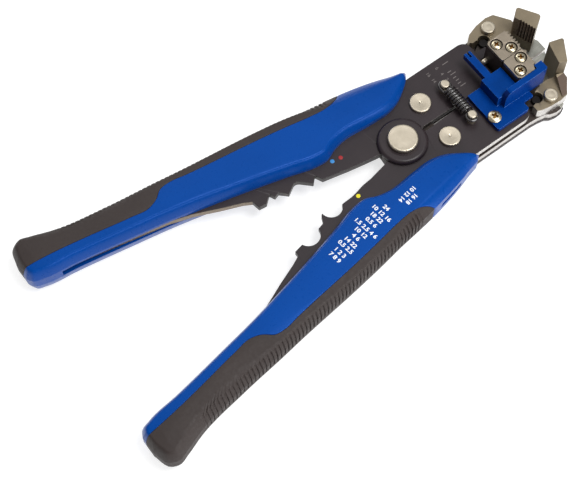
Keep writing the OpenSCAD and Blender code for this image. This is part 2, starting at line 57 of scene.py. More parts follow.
BODY = {n: b for b, ns in frame["record"]["behaviour"]["bodies"].items() for n in ns}

# ------------------------------------------------------------------ camera
AZ, EL, DIST = math.radians(53.2627), math.radians(65.9767), 521.67 * MM
TARGET = Vector((6.283, -55.695, 9.6)) * MM
back = Vector((math.sin(AZ) * math.cos(EL), -math.cos(AZ) * math.cos(EL), math.sin(EL)))
cam_data = bpy.data.cameras.new("camera")
cam = bpy.data.objects.new("camera", cam_data)
scene.collection.objects.link(cam)
cam.location = TARGET + back * DIST
cam.rotation_mode = "QUATERNION"
cam.rotation_quaternion = (-back).to_track_quat("-Z", "Y")
cam_data.lens, cam_data.sensor_width = 93.42, 36.0
cam_data.clip_start, cam_data.clip_end = 0.01, 10.0
scene.camera = cam
scene.view_settings.view_transform = "Standard"


# --------------------------------------------------------------- materials
def srgb(r, g, b):
    def f(c):
        c /= 255.0
        return c / 12.92 if c <= 0.04045 else ((c + 0.055) / 1.055) ** 2.4
    return (f(r), f(g), f(b), 1.0)


class Mat:
    """Small helper round a node tree: noise-driven colour, roughness and bump."""

    def __init__(self, name, base, rough, metal=0.0, spec=0.5, coat=0.0, coat_rough=0.1, sheen=0.0):
        self.mat = bpy.data.materials.new(name)
        self.mat.use_nodes = True
        self.nt = self.mat.node_tree
        self.nt.nodes.clear()
        self.out = self.nt.nodes.new("ShaderNodeOutputMaterial")
        self.bsdf = self.nt.nodes.new("ShaderNodeBsdfPrincipled")
        self.nt.links.new(self.bsdf.outputs[0], self.out.inputs[0])
        b = self.bsdf.inputs
        b["Base Color"].default_value = base
        b["Roughness"].default_value = rough
        b["Metallic"].default_value = metal
        b["Specular IOR Level"].default_value = spec
        b["Coat Weight"].default_value = coat
        b["Coat Roughness"].default_value = coat_rough
        b["Sheen Weight"].default_value = sheen
        self.base, self.rough = base, rough
        self.co = self.nt.nodes.new("ShaderNodeTexCoord").outputs["Object"]
        self.normal = None

    def node(self, kind, **inputs):
        n = self.nt.nodes.new(kind)
        for k, v in inputs.items():
            k = k.replace("_", " ")
            if isinstance(v, bpy.types.NodeSocket):
                self.nt.links.new(v, n.inputs[k])
            else:
                n.inputs[k].default_value = v
        return n

    def link(self, a, b):
        self.nt.links.new(a, b)

    def noise(self, size_mm, detail=3.0, rough=0.55, stretch=None, distortion=0.0):
        """Noise whose grain is about size_mm, stretched per axis if asked."""
        co = self.co
        if stretch:
            m = self.node("ShaderNodeMapping", Vector=co)
            m.inputs["Scale"].default_value = stretch
            co = m.outputs[0]
        n = self.node("ShaderNodeTexNoise", Vector=co, Scale=1000.0 / size_mm, Detail=detail, Roughness=rough, Distortion=distortion)
        return n.outputs[0]

    def ramp(self, fac, stops):
        r = self.nt.nodes.new("ShaderNodeValToRGB")
        e = r.color_ramp.elements
        while len(e) < len(stops):
            e.new(0.5)
        for el, (p, c) in zip(e, stops):
            el.position = p
            el.color = c if len(c) == 4 else (c[0], c[0], c[0], 1.0)
        self.link(fac, r.inputs[0])
        return r.outputs[0]

    def mix(self, fac, a, b, mode="MIX"):
        m = self.nt.nodes.new("ShaderNodeMix")
        m.data_type = "RGBA"
        m.blend_type = mode
        for s, v in ((m.inputs["Factor"], fac), (m.inputs[6], a), (m.inputs[7], b)):
            if isinstance(v, bpy.types.NodeSocket):
                self.link(v, s)
            else:
                s.default_value = v
        return m.outputs[2]

    def math(self, op, a, b=0.0, c=None, clamp=False):
        m = self.nt.nodes.new("ShaderNodeMath")
        m.operation = op
        m.use_clamp = clamp
        for i, v in enumerate((a, b) if c is None else (a, b, c)):
            if isinstance(v, bpy.types.NodeSocket):
                self.link(v, m.inputs[i])
            else:
                m.inputs[i].default_value = v
        return m.outputs[0]

    def map(self, v, lo, hi, to_lo, to_hi):
        m = self.nt.nodes.new("ShaderNodeMapRange")
        self.link(v, m.inputs[0])
        for i, x in enumerate((lo, hi, to_lo, to_hi)):
            m.inputs[1 + i].default_value = x
        return m.outputs[0]

    def color(self, socket):
        self.link(socket, self.bsdf.inputs["Base Color"])

    def roughness(self, socket):
        self.link(socket, self.bsdf.inputs["Roughness"])

    def bump(self, height, strength=0.2, dist_mm=0.05):
        n = self.nt.nodes.new("ShaderNodeBump")
        n.inputs["Strength"].default_value = strength
        n.inputs["Distance"].default_value = dist_mm * MM
        self.link(height, n.inputs["Height"])
        if self.normal is not None:
            self.link(self.normal, n.inputs["Normal"])
        self.normal = n.outputs[0]
        self.link(self.normal, self.bsdf.inputs["Normal"])

    def axes(self):
        s = self.node("ShaderNodeSeparateXYZ", Vector=self.co)
        return s.outputs


def shade(c, k):
    return (min(c[0] * k, 1), min(c[1] * k, 1), min(c[2] * k, 1), 1.0)


def blue_plastic():
    base = srgb(0, 61, 138)
    m = Mat("blue_plastic", base, 0.30, spec=0.42)
    m.bsdf.inputs["Specular Tint"].default_value = (0.17, 0.34, 1.0, 1.0)
    big = m.noise(28, 2.0)
    fine = m.noise(0.55, 3.0, 0.6)
    m.color(m.mix(m.map(fine, 0.35, 0.65, 0.0, 1.0), m.mix(m.map(big, 0.3, 0.7, 0.0, 1.0), shade(base, 0.95), shade(base, 1.05)),
                  m.mix(m.map(big, 0.3, 0.7, 0.0, 1.0), shade(base, 0.90), shade(base, 1.0)), "MIX"))
    m.roughness(m.map(m.noise(1.6, 3.0), 0.3, 0.7, 0.25, 0.36))
    m.bump(m.noise(0.42, 2.0, 0.5), 0.22, 0.03)
    return m.mat


def grip_rubber():
    base = srgb(48, 40, 38)
    m = Mat("grip_rubber", base, 0.58, spec=0.31)
    big, fine = m.noise(14, 3.0), m.noise(0.4, 3.0, 0.6)
    c = m.mix(m.map(big, 0.3, 0.7, 0.0, 1.0), shade(base, 0.92), shade(base, 1.06))
    m.color(m.mix(m.map(fine, 0.4, 0.75, 0.0, 0.35), c, shade(base, 1.25)))
    m.roughness(m.map(m.noise(1.2, 3.0), 0.3, 0.7, 0.50, 0.66))
    m.bump(m.noise(0.32, 2.0, 0.55), 0.4, 0.04)
    return m.mat


def black_plate():
    base = srgb(38, 30, 33)
    m = Mat("black_plate", base, 0.40, metal=0.0, spec=0.33)
    grain = m.noise(0.30, 3.0, 0.6)
    cloud = m.noise(11, 4.0, 0.55)
    streak = m.noise(0.5, 2.0, 0.5, stretch=(1.0, 0.05, 1.0))
    c = m.mix(m.map(cloud, 0.3, 0.7, 0.0, 1.0), shade(base, 0.86), shade(base, 1.12))
    c = m.mix(m.map(grain, 0.35, 0.8, 0.0, 0.45), c, shade(base, 1.5))
    m.color(m.mix(m.map(streak, 0.45, 0.75, 0.0, 0.22), c, shade(base, 1.45)))
    m.roughness(m.map(m.noise(2.5, 4.0), 0.3, 0.7, 0.34, 0.46))
    m.bump(grain, 0.28, 0.03)
    return m.mat


def worn_edge():
    # blackened cut edge, rubbed bright in patches
    m = Mat("worn_edge", srgb(60, 55, 54), 0.40, metal=0.35)
    patch = m.noise(3.2, 5.0, 0.65)
    shear = m.noise(0.22, 2.0, 0.5, stretch=(1.0, 1.0, 0.12))
    wear = m.map(patch, 0.58, 0.74, 0.0, 1.0)
    c = m.mix(m.map(shear, 0.3, 0.7, 0.0, 1.0), srgb(30, 26, 26), srgb(56, 50, 48))
    m.color(m.mix(wear, c, srgb(104, 97, 92)))
    m.link(m.map(wear, 0.0, 1.0, 0.2, 0.6), m.bsdf.inputs["Metallic"])
    m.roughness(m.map(shear, 0.3, 0.7, 0.32, 0.5))
    m.bump(shear, 0.3, 0.03)
    return m.mat


def zinc():
    m = Mat("zinc_plate", srgb(152, 151, 144), 0.34, metal=1.0)
    spangle = m.node("ShaderNodeTexVoronoi", Vector=m.co, Scale=1000.0 / 2.6)
    brushed = m.noise(0.35, 3.0, 0.6, stretch=(1.0, 0.08, 1.0))
    c = m.mix(m.map(spangle.outputs["Distance"], 0.0, 0.9, 0.0, 1.0), srgb(142, 142, 135), srgb(168, 168, 160))
    m.color(m.mix(m.map(brushed, 0.35, 0.75, 0.0, 0.5), c, srgb(118, 118, 112)))
    m.roughness(m.map(brushed, 0.3, 0.7, 0.26, 0.42))
    m.bump(brushed, 0.12, 0.02)
    return m.mat


def nickel(turned=True):
    m = Mat("nickel_turned" if turned else "nickel_plain", srgb(190, 181, 164), 0.36, metal=1.0)
    fine = m.noise(0.35, 3.0, 0.6)
    cloud = m.noise(2.4, 3.0)
    c = m.mix(m.map(cloud, 0.3, 0.7, 0.0, 1.0), srgb(180, 171, 154), srgb(197, 188, 171))
    if turned:
        # concentric tool marks round the piece's own axis
        x, y, z = m.axes()
        r = m.math("SQRT", m.math("ADD", m.math("MULTIPLY", x, x), m.math("MULTIPLY", y, y)))
        w = m.math("SINE", m.math("ADD", m.math("MULTIPLY", r, 2 * math.pi / (0.24 * MM)), m.math("MULTIPLY", fine, 5.0)))
        m.color(m.mix(m.map(w, -1.0, 1.0, 0.0, 0.35), c, srgb(165, 154, 135)))
        m.bump(w, 0.10, 0.012)
    else:
        m.color(m.mix(m.map(fine, 0.4, 0.8, 0.0, 0.4), c, srgb(165, 154, 135)))
    m.roughness(m.map(fine, 0.3, 0.7, 0.33, 0.50))
    m.bump(fine, 0.15, 0.015)
    return m.mat


def sintered():
    base = srgb(137, 127, 113)
    m = Mat("sintered_steel", base, 0.46, metal=0.75)
    pore = m.node("ShaderNodeTexVoronoi", Vector=m.co, Scale=1000.0 / 0.28)
    cloud = m.noise(5.0, 4.0, 0.6)
    brush = m.noise(0.3, 3.0, 0.6, stretch=(0.10, 1.0, 1.0))
    c = m.mix(m.map(cloud, 0.3, 0.7, 0.0, 1.0), shade(base, 0.88), shade(base, 1.12))
    c = m.mix(m.map(brush, 0.4, 0.75, 0.0, 0.5), c, shade(base, 1.3))
    m.color(m.mix(m.map(pore.outputs["Distance"], 0.0, 0.3, 0.55, 0.0), c, shade(base, 0.55)))
    m.roughness(m.map(cloud, 0.3, 0.7, 0.40, 0.56))
    m.bump(pore.outputs["Distance"], 0.25, 0.03)
    return m.mat


def edge_bright():
    m = Mat("edge_bright", srgb(170, 160, 146), 0.30, metal=0.95)
    f = m.noise(0.8, 4.0, 0.65)
    m.color(m.mix(m.map(f, 0.4, 0.65, 0.0, 1.0), srgb(126, 116, 102), srgb(184, 175, 160)))
    m.roughness(m.map(f, 0.3, 0.7, 0.24, 0.42))
    m.bump(f, 0.15, 0.02)
    return m.mat


def tool_steel():
    base = srgb(126, 115, 96)
    m = Mat("jaw_steel", base, 0.42, metal=0.7)
    cloud, fine = m.noise(7.0, 4.0, 0.6), m.noise(0.32, 3.0, 0.6)
    c = m.mix(m.map(cloud, 0.3, 0.7, 0.0, 1.0), shade(base, 0.85), shade(base, 1.10))
    m.color(m.mix(m.map(fine, 0.38, 0.78, 0.0, 0.45), c, shade(base, 1.32)))
    m.roughness(m.map(cloud, 0.3, 0.7, 0.36, 0.52))
    m.bump(fine, 0.3, 0.03)
    return m.mat


def dark_steel():
    base = srgb(50, 41, 36)
    m = Mat("dark_steel", base, 0.46, metal=0.35)
    cloud, fine = m.noise(4.0, 4.0, 0.6), m.noise(0.3, 3.0, 0.6)
    c = m.mix(m.map(cloud, 0.3, 0.7, 0.0, 1.0), shade(base, 0.75), shade(base, 1.2))
    m.color(m.mix(m.map(fine, 0.4, 0.8, 0.0, 0.4), c, shade(base, 1.6)))
    m.roughness(m.map(cloud, 0.3, 0.7, 0.38, 0.55))
    m.bump(fine, 0.3, 0.03)
    return m.mat


def pin_steel():
    # near-black steel for pins, keys and the grip pad; in the jaw levers' notches this darkness is painted shade
    m = Mat("pin_steel", srgb(20, 17, 16), 0.6, spec=0.2)
    f = m.noise(0.5, 4.0, 0.6)
    m.color(m.mix(m.map(f, 0.35, 0.7, 0.0, 1.0), srgb(14, 12, 11), srgb(28, 24, 22)))
    m.roughness(m.map(f, 0.3, 0.7, 0.52, 0.7))
    m.bump(f, 0.2, 0.02)
    return m.mat


def blade_steel():
    m = Mat("blade_steel", srgb(178, 176, 170), 0.28, metal=1.0)
    g = m.noise(0.25, 3.0, 0.6, stretch=(1.0, 1.0, 0.08))
    m.color(m.mix(m.map(g, 0.35, 0.7, 0.0, 1.0), srgb(150, 147, 141), srgb(192, 190, 184)))
    m.roughness(m.map(g, 0.3, 0.7, 0.22, 0.4))
    m.bump(g, 0.2, 0.02)
    return m.mat


def stop_plastic():
    base = srgb(0, 47, 120)
    m = Mat("stop_plastic", base, 0.30, spec=0.26)
    m.bsdf.inputs["Specular Tint"].default_value = (0.10, 0.50, 1.0, 1.0)
    big, fine = m.noise(6, 3.0), m.noise(0.5, 3.0)
    c = m.mix(m.map(big, 0.3, 0.7, 0.0, 1.0), shade(base, 0.85), shade(base, 1.08))
    m.color(m.mix(m.map(fine, 0.4, 0.7, 0.0, 0.3), c, shade(base, 1.2)))
    m.roughness(m.map(fine, 0.3, 0.7, 0.25, 0.38))
    m.bump(m.noise(0.5, 2.0), 0.12, 0.03)
    return m.mat


def stop_edge_highlight():
    # lighter blue for all the stop's bevels: a painted highlight along its edges
    base = srgb(40, 120, 206)
    m = Mat("stop_edge_highlight", base, 0.30, spec=0.5)
    f = m.noise(0.7, 4.0, 0.6)
    m.color(m.mix(m.map(f, 0.35, 0.7, 0.0, 1.0), srgb(16, 86, 178), srgb(70, 138, 216)))
    m.roughness(m.map(f, 0.3, 0.7, 0.24, 0.4))
    m.bump(f, 0.15, 0.02)
    return m.mat


def stop_painted_shade():
    # dark blue for the stop's faces turned towards the handle and for its underside: painted shade
    base = srgb(0, 22, 76)
    m = Mat("stop_painted_shade", base, 0.34, spec=0.3)
    m.bsdf.inputs["Specular Tint"].default_value = (0.3, 0.5, 1.0, 1.0)
    big, fine = m.noise(5, 3.0), m.noise(0.5, 3.0)
    c = m.mix(m.map(big, 0.3, 0.7, 0.0, 1.0), shade(base, 0.8), shade(base, 1.15))
    m.color(m.mix(m.map(fine, 0.4, 0.7, 0.0, 0.3), c, shade(base, 1.3)))
    m.roughness(m.map(fine, 0.3, 0.7, 0.28, 0.42))
    m.bump(m.noise(0.5, 2.0), 0.12, 0.03)
    return m.mat


def sheared_edge_and_reflection():
    # bright sheared rim of a stamped plate, drawn along its height; on the right jaw's outer wall the same bright steel
    # is a painted reflection
    m = Mat("sheared_edge_and_reflection", srgb(206, 203, 200), 0.32, metal=0.95)
    f = m.noise(0.9, 4.0, 0.6)
    shear = m.noise(0.22, 2.0, 0.5, stretch=(1.0, 1.0, 0.12))
    c = m.mix(m.map(shear, 0.3, 0.7, 0.0, 1.0), srgb(186, 182, 178), srgb(222, 219, 215))
    m.color(m.mix(m.map(f, 0.5, 0.75, 0.0, 0.6), c, srgb(140, 134, 128)))
    m.roughness(m.map(shear, 0.3, 0.7, 0.26, 0.42))
    m.bump(shear, 0.25, 0.02)
    return m.mat


def jaw_painted_shade():
    # dark brown steel for the jaws' grooves, undersides, gusset and inner face: painted shade
    base = srgb(78, 63, 52)
    m = Mat("jaw_painted_shade", base, 0.5, metal=0.4)
    cloud, fine = m.noise(3.0, 4.0, 0.6), m.noise(0.3, 3.0, 0.6)
    c = m.mix(m.map(cloud, 0.3, 0.7, 0.0, 1.0), shade(base, 0.75), shade(base, 1.2))
    m.color(m.mix(m.map(fine, 0.4, 0.8, 0.0, 0.4), c, shade(base, 1.5)))
    m.roughness(m.map(cloud, 0.3, 0.7, 0.42, 0.6))
    m.bump(fine, 0.3, 0.03)
    return m.mat


def ridge_highlight_steel():
    # lighter steel for the serration's flat ridge tops and the tangs' inner edges: a painted highlight
    m = Mat("ridge_highlight_steel", srgb(96, 82, 70), 0.34, metal=0.75)
    f = m.noise(0.5, 4.0, 0.6)
    m.color(m.mix(m.map(f, 0.35, 0.7, 0.0, 1.0), srgb(104, 90, 76), srgb(150, 136, 118)))
    m.roughness(m.map(f, 0.3, 0.7, 0.26, 0.44))
    m.bump(f, 0.15, 0.02)
    return m.mat


def spring_black():
    base = srgb(30, 26, 25)
    m = Mat("spring_wire", base, 0.2, metal=0.0, spec=1.0)
    f = m.noise(0.6, 4.0, 0.6)
    m.color(m.mix(m.map(f, 0.5, 0.75, 0.0, 0.8), base, srgb(52, 47, 44)))
    m.roughness(m.map(f, 0.3, 0.7, 0.14, 0.26))
    m.bump(m.noise(0.25, 2.0), 0.12, 0.02)
    return m.mat


def screw_plated():
    m = Mat("screw_plated", srgb(206, 195, 168), 0.28, metal=1.0)
    f = m.noise(0.5, 3.0, 0.6)
    m.color(m.mix(m.map(f, 0.35, 0.7, 0.0, 1.0), srgb(186, 173, 143), srgb(216, 207, 184)))
    m.roughness(m.map(f, 0.3, 0.7, 0.22, 0.40))
    m.bump(f, 0.15, 0.015)
    return m.mat


def recess_shade_metal():
    # dark brown metal in the cross recesses: the plating's colour darkened as painted shade
    m = Mat("screw_recess", srgb(142, 104, 48), 0.35, metal=0.9)
    f = m.noise(0.4, 3.0, 0.6)
    m.color(m.mix(m.map(f, 0.35, 0.7, 0.0, 1.0), srgb(96, 66, 26), srgb(176, 134, 70)))
    m.roughness(m.map(f, 0.3, 0.7, 0.28, 0.48))
    return m.mat


def paint(name, rgb, rough=0.45):
    base = srgb(*rgb)
    m = Mat(name, base, rough)
    f = m.noise(0.35, 3.0, 0.6)
    m.color(m.mix(m.map(f, 0.35, 0.75, 0.0, 1.0), base, shade(base, 0.78)))
    m.roughness(m.map(f, 0.3, 0.7, rough - 0.06, rough + 0.1))
    m.bump(f, 0.1, 0.02)
    return m.mat


M = dict(
    blue=blue_plastic(), rubber=grip_rubber(), black=black_plate(), worn=worn_edge(), zinc=zinc(),
    turned=nickel(True), nickel=nickel(False), sinter=sintered(), bright=edge_bright(), jaw=tool_steel(),
    dark=dark_steel(), pin=pin_steel(), blade=blade_steel(), stop=stop_plastic(), stop_edge_highlight=stop_edge_highlight(), stop_painted_shade=stop_painted_shade(), ridge=ridge_highlight_steel(), shear=sheared_edge_and_reflection(), jaw_shade=jaw_painted_shade(), spring=spring_black(), screw=screw_plated(),
    recess=recess_shade_metal(), white=paint("print_white", (232, 236, 242)), mark=paint("etched_mark", (112, 105, 103), 0.5),
    red=paint("dot_red", (160, 16, 22)), cyan=paint("dot_blue", (50, 138, 205)), yellow=paint("dot_yellow", (240, 226, 20)),
)


# ------------------------------------------------------------ mesh helpers
def new_object(name, bm, mats, origin=(0, 0, 0), smooth=True, sharp_deg=38):
    """bmesh in millimetres in the row frame -> object in metres with its own origin."""
    bmesh.ops.translate(bm, verts=bm.verts, vec=-Vector(origin))
    bmesh.ops.scale(bm, verts=bm.verts, vec=(MM, MM, MM))
    me = bpy.data.meshes.new(name)
    bm.normal_update()
    lim = math.radians(sharp_deg)
    for e in bm.edges:
        e.smooth = not (len(e.link_faces) == 2 and e.calc_face_angle(0.0) > lim)
    for f in bm.faces:
        f.smooth = smooth
    bm.to_mesh(me)
    bm.free()
    o = bpy.data.objects.new(name, me)
    for m in mats:
        me.materials.append(M[m])
    o.location = Vector(origin) * MM
    scene.collection.objects.link(o)
    return o


def weighted(o):
    w = o.modifiers.new("weighted", "WEIGHTED_NORMAL")
    w.keep_sharp = True
    w.weight = 60
    return o


def put(o, body, *nodes, slot=None):
    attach(o, body)
    if nodes:
        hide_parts(*nodes)
    return o


def node_bm(name):
    """The node's mesh in millimetres, welded, with flat areas as single faces."""
    bm = bmesh.new()
    bm.from_mesh(NODES[name].data)
    bmesh.ops.scale(bm, verts=bm.verts, vec=(1000, 1000, 1000))
    bmesh.ops.remove_doubles(bm, verts=bm.verts, dist=0.002)
    bmesh.ops.dissolve_limit(bm, angle_limit=math.radians(0.4), verts=bm.verts, edges=bm.edges)
    bm.normal_update()
    return bm


def soften(node, mats, width=0.15, segs=2, angle=28, corners=(), edge_mat=None, paint_face=None, slot=None, sharp=38, cuts=(), first=None):
    """CAD node with rounded corners and small chamfers, as a new piece."""
    bm = node_bm(node)
    for co, no in cuts:
        bmesh.ops.bisect_plane(bm, geom=bm.verts[:] + bm.edges[:] + bm.faces[:], dist=0.001, plane_co=co, plane_no=no)
    for (x, y), r, n in corners:
        es = [e for e in bm.edges if abs((e.verts[0].co - e.verts[1].co).normalized().z) > 0.999
              and (e.verts[0].co.xy - Vector((x, y))).length < 0.06]
        if es:
            bmesh.ops.bevel(bm, geom=es, offset=r, offset_type="OFFSET", segments=n, profile=0.5, affect="EDGES", clamp_overlap=True)
    bm.normal_update()
    lim = math.radians(angle)
    if first:
        # a wider rounding of its own for some edges
        pick, w_, n_ = first
        es = [e for e in bm.edges if len(e.link_faces) == 2 and e.calc_face_angle(0.0) > lim and pick(e)]
        bmesh.ops.bevel(bm, geom=es, offset=w_, offset_type="OFFSET", segments=n_, profile=0.5, affect="EDGES", clamp_overlap=True)
        bm.normal_update()
    es = [e for e in bm.edges if len(e.link_faces) == 2 and e.calc_face_angle(0.0) > lim and e.calc_length() > 0.05]
    for f in bm.faces:
        f.material_index = 0
    if es and width:
        bmesh.ops.bevel(bm, geom=es, offset=width, offset_type="OFFSET", segments=segs, profile=0.5, affect="EDGES",
                        clamp_overlap=True, material=-1 if edge_mat is None else edge_mat)
    bm.normal_update()
    if paint_face:
        for f in bm.faces:
            k = paint_face(f.calc_center_median(), f.normal)
            if k is not None:
                f.material_index = k
    bmesh.ops.triangulate(bm, faces=[f for f in bm.faces if len(f.verts) > 4])
    o = new_object(node + "_skin", bm, mats, sharp_deg=sharp)
    return put(weighted(o), BODY[node], node, slot=slot)


def flat_loops(node, z, tol=0.02, up=True):
    """Ordered outlines of the node's flat faces at height z: a list of (x, y) loops."""
    bm = node_bm(node)
    keep = {f for f in bm.faces if abs(f.normal.z) > 0.99 and (f.normal.z > 0) == up and abs(f.calc_center_median().z - z) < tol}
    edges = [e for e in bm.edges if sum(f in keep for f in e.link_faces) == 1]
    nxt = {}
    for e in edges:
        a, b = e.verts
        nxt.setdefault(a, []).append(b)
        nxt.setdefault(b, []).append(a)
    loops, seen = [], set()
    for v in nxt:
        if v in seen:
            continue
        loop, prev, cur = [v], None, v
        seen.add(v)
        while True:
            step = [w for w in nxt[cur] if w is not prev]
            w = step[0] if step else None
            if w is None or w is v:
                break
            if w in seen:
                break
            loop.append(w)
            seen.add(w)
            prev, cur = cur, w
        loops.append([(p.co.x, p.co.y) for p in loop])
    bm.free()
    loops.sort(key=lambda l: -abs(area(l)))
    return loops


def area(l):
    return 0.5 * sum(a[0] * b[1] - b[0] * a[1] for a, b in zip(l, l[1:] + l[:1]))


def fillet(loop, r_sharp=0.25, smooth_deg=42, seg_deg=7.0, special=()):
    """Rounds a loop: shallow corners as far as their sides allow, sharp ones by r_sharp."""
    n, out = len(loop), []
    P = [Vector(p) for p in loop]
    for i in range(n):
        a, b, c = P[i - 1], P[i], P[(i + 1) % n]
        u, v = b - a, c - b
        lu, lv = u.length, v.length
        if lu < 1e-6 or lv < 1e-6:
            continue
        ang = math.atan2(u.x * v.y - u.y * v.x, u.dot(v))
        t = abs(ang)
        if t < math.radians(9):
            out.append(b)
            continue
        half = math.tan(t / 2)
        lim = 0.49 * min(lu, lv)
        r = min(lim, 1.3) / half if t < math.radians(smooth_deg) else min(r_sharp, lim / half)
        for (x, y), rs in special:
            if abs(b.x - x) < 0.06 and abs(b.y - y) < 0.06:
                r = min(rs, lim / half)
        d = r * half
        p0, p1 = b - u / lu * d, b + v / lv * d
        k = max(1, int(math.degrees(t) / seg_deg + 0.5))
        s = 1 if ang > 0 else -1
        centre = p0 + Vector((-u.y, u.x)) / lu * (r * s)
        w = p0 - centre
        for j in range(k + 1):
            q = ang * j / k
            out.append(centre + Vector((w.x * math.cos(q) - w.y * math.sin(q), w.x * math.sin(q) + w.y * math.cos(q))))
    res = []
    for p in out:
        if not res or (p - res[-1]).length > 0.012:
            res.append(p)
    if (res[0] - res[-1]).length < 0.012:
        res.pop()
    return [(p.x, p.y) for p in res]


def grow(loop, d):
    """Loop moved outwards by d (inwards if negative), for a loop of either direction."""
    n, s = len(loop), 1 if area(loop) > 0 else -1
    out = []
    for i in range(n):
        a, b, c = (Vector(loop[(i + k) % n]) for k in (-1, 0, 1))
        u, v = (b - a).normalized(), (c - b).normalized()
        m = Vector((u.y + v.y, -u.x - v.x)) * s
        k = max(m.length_squared / 2, 0.35)
        out.append(b + m * (d / k))
    return [(p.x, p.y) for p in out]


def slab_bm(loops, z0, z1, ch=0.15, bottom_ch=0.1, steps=2, mats=(0, 1, 1)):
    """Closed plate with chamfered rims from an outline and its holes. mats: face, chamfer, wall."""
    bm = bmesh.new()
    rims = []
    for j in range(steps + 1):
        a = math.pi / 2 * j / steps
        rims.append((bottom_ch * (1 - math.sin(a)), z0 + bottom_ch * (1 - math.cos(a))))
    for j in range(steps + 1):
        a = math.pi / 2 * j / steps
        rims.append((ch * (1 - math.cos(a)), z1 - ch * (1 - math.sin(a))))
    caps = {0: [], len(rims) - 1: []}
    for li, loop in enumerate(loops):
        hole = li > 0
        rows = []
        for k, (d, z) in enumerate(rims):
            l = grow(loop, d if hole else -d) if d > 1e-9 else loop
            rows.append([bm.verts.new((x, y, z)) for x, y in l])
        for k in caps:
            caps[k].append(rows[k])
        ccw = (area(loop) > 0) != hole
        n = len(loop)
        for k in range(len(rows) - 1):
            m = mats[1] if k < steps or k >= steps + 1 else mats[2]
            for i in range(n):
                j = (i + 1) % n
                q = (rows[k][i], rows[k][j], rows[k + 1][j], rows[k + 1][i])
                f = bm.faces.new(q if ccw else q[::-1])
                f.material_index = m
    for k, rings in caps.items():
        flat = [v for r in rings for v in r]
        tris = tessellate_polygon([[v.co for v in r] for r in rings])
        up = k != 0
        for t in tris:
            a, b, c = (flat[i] for i in t)
            nz = (b.co - a.co).cross(c.co - a.co).z
            if abs(nz) < 1e-9:
                continue
            try:
                f = bm.faces.new((a, b, c) if (nz > 0) == up else (a, c, b))
                f.material_index = mats[0]
            except ValueError:
                pass
    bm.normal_update()
    return bm


def lathe_bm(profile, segs=72, centre=(0, 0), mats=None):
    """Revolved closed profile of (r, z), r >= 0; mats gives a material index per profile step."""
    bm = bmesh.new()
    rings = []
    for r, z in profile:
        if r < 1e-6:
            rings.append([bm.verts.new((centre[0], centre[1], z))])
        else:
            rings.append([bm.verts.new((centre[0] + r * math.cos(2 * math.pi * i / segs), centre[1] + r * math.sin(2 * math.pi * i / segs), z)) for i in range(segs)])
    for k in range(len(rings) - 1):
        a, b = rings[k], rings[k + 1]
        for i in range(segs):
            j = (i + 1) % segs
            if len(a) == 1 and len(b) == 1:
                break
            if len(a) == 1:
                f = bm.faces.new((a[0], b[j], b[i]))
            elif len(b) == 1:
                f = bm.faces.new((a[i], a[j], b[0]))
            else:
                f = bm.faces.new((a[i], a[j], b[j], b[i]))
            f.material_index = mats[k] if mats else 0
    bmesh.ops.recalc_face_normals(bm, faces=bm.faces)
    return bm


def arc(cx, cz, r, a0, a1, n):
    return [(cx + r * math.cos(math.radians(a0 + (a1 - a0) * i / n)), cz + r * math.sin(math.radians(a0 + (a1 - a0) * i / n))) for i in range(n + 1)]


def join_bm(*bms):
    out = bms[0]
    for b in bms[1:]:
        me = bpy.data.meshes.new("tmp")
        b.to_mesh(me)
        out.from_mesh(me)
        bpy.data.meshes.remove(me)
        b.free()
    return out


def boolean(bm, cutter, op="DIFFERENCE"):
    """bm (op) cutter with the exact solver, both bmeshes in millimetres."""
    objs = []
    for b in (bm, cutter):
        me = bpy.data.meshes.new("tmp")
        b.to_mesh(me)
        b.free()
        o = bpy.data.objects.new("tmp", me)
        scene.collection.objects.link(o)
        objs.append(o)
    mod = objs[0].modifiers.new("b", "BOOLEAN")
    mod.operation, mod.object, mod.solver = op, objs[1], "EXACT"
    mod.material_mode = "INDEX"
    bpy.context.view_layer.update()
    me = bpy.data.meshes.new_from_object(objs[0].evaluated_get(bpy.context.evaluated_depsgraph_get()))
    res = bmesh.new()
    res.from_mesh(me)
    for o in objs:
        d = o.data
        bpy.data.objects.remove(o)
        bpy.data.meshes.remove(d)
    bpy.data.meshes.remove(me)
    res.normal_update()
    return res


def box_bm(x0, x1, y0, y1, z0, z1, mat=0, turn=0.0, at=(0, 0)):
    bm = bmesh.new()
    bmesh.ops.create_cube(bm, size=1.0)
    bmesh.ops.scale(bm, verts=bm.verts, vec=(x1 - x0, y1 - y0, z1 - z0))
    bmesh.ops.translate(bm, verts=bm.verts, vec=((x0 + x1) / 2, (y0 + y1) / 2, (z0 + z1) / 2))
    if turn:
        bmesh.ops.rotate(bm, verts=bm.verts, cent=(0, 0, 0), matrix=Matrix.Rotation(turn, 3, "Z"))
    bmesh.ops.translate(bm, verts=bm.verts, vec=(at[0], at[1], 0))
    for f in bm.faces:
        f.material_index = mat
    return bm


def mirror_bm(bm):
    bmesh.ops.scale(bm, verts=bm.verts, vec=(-1, 1, 1))
    bmesh.ops.reverse_faces(bm, faces=bm.faces)
    return bm


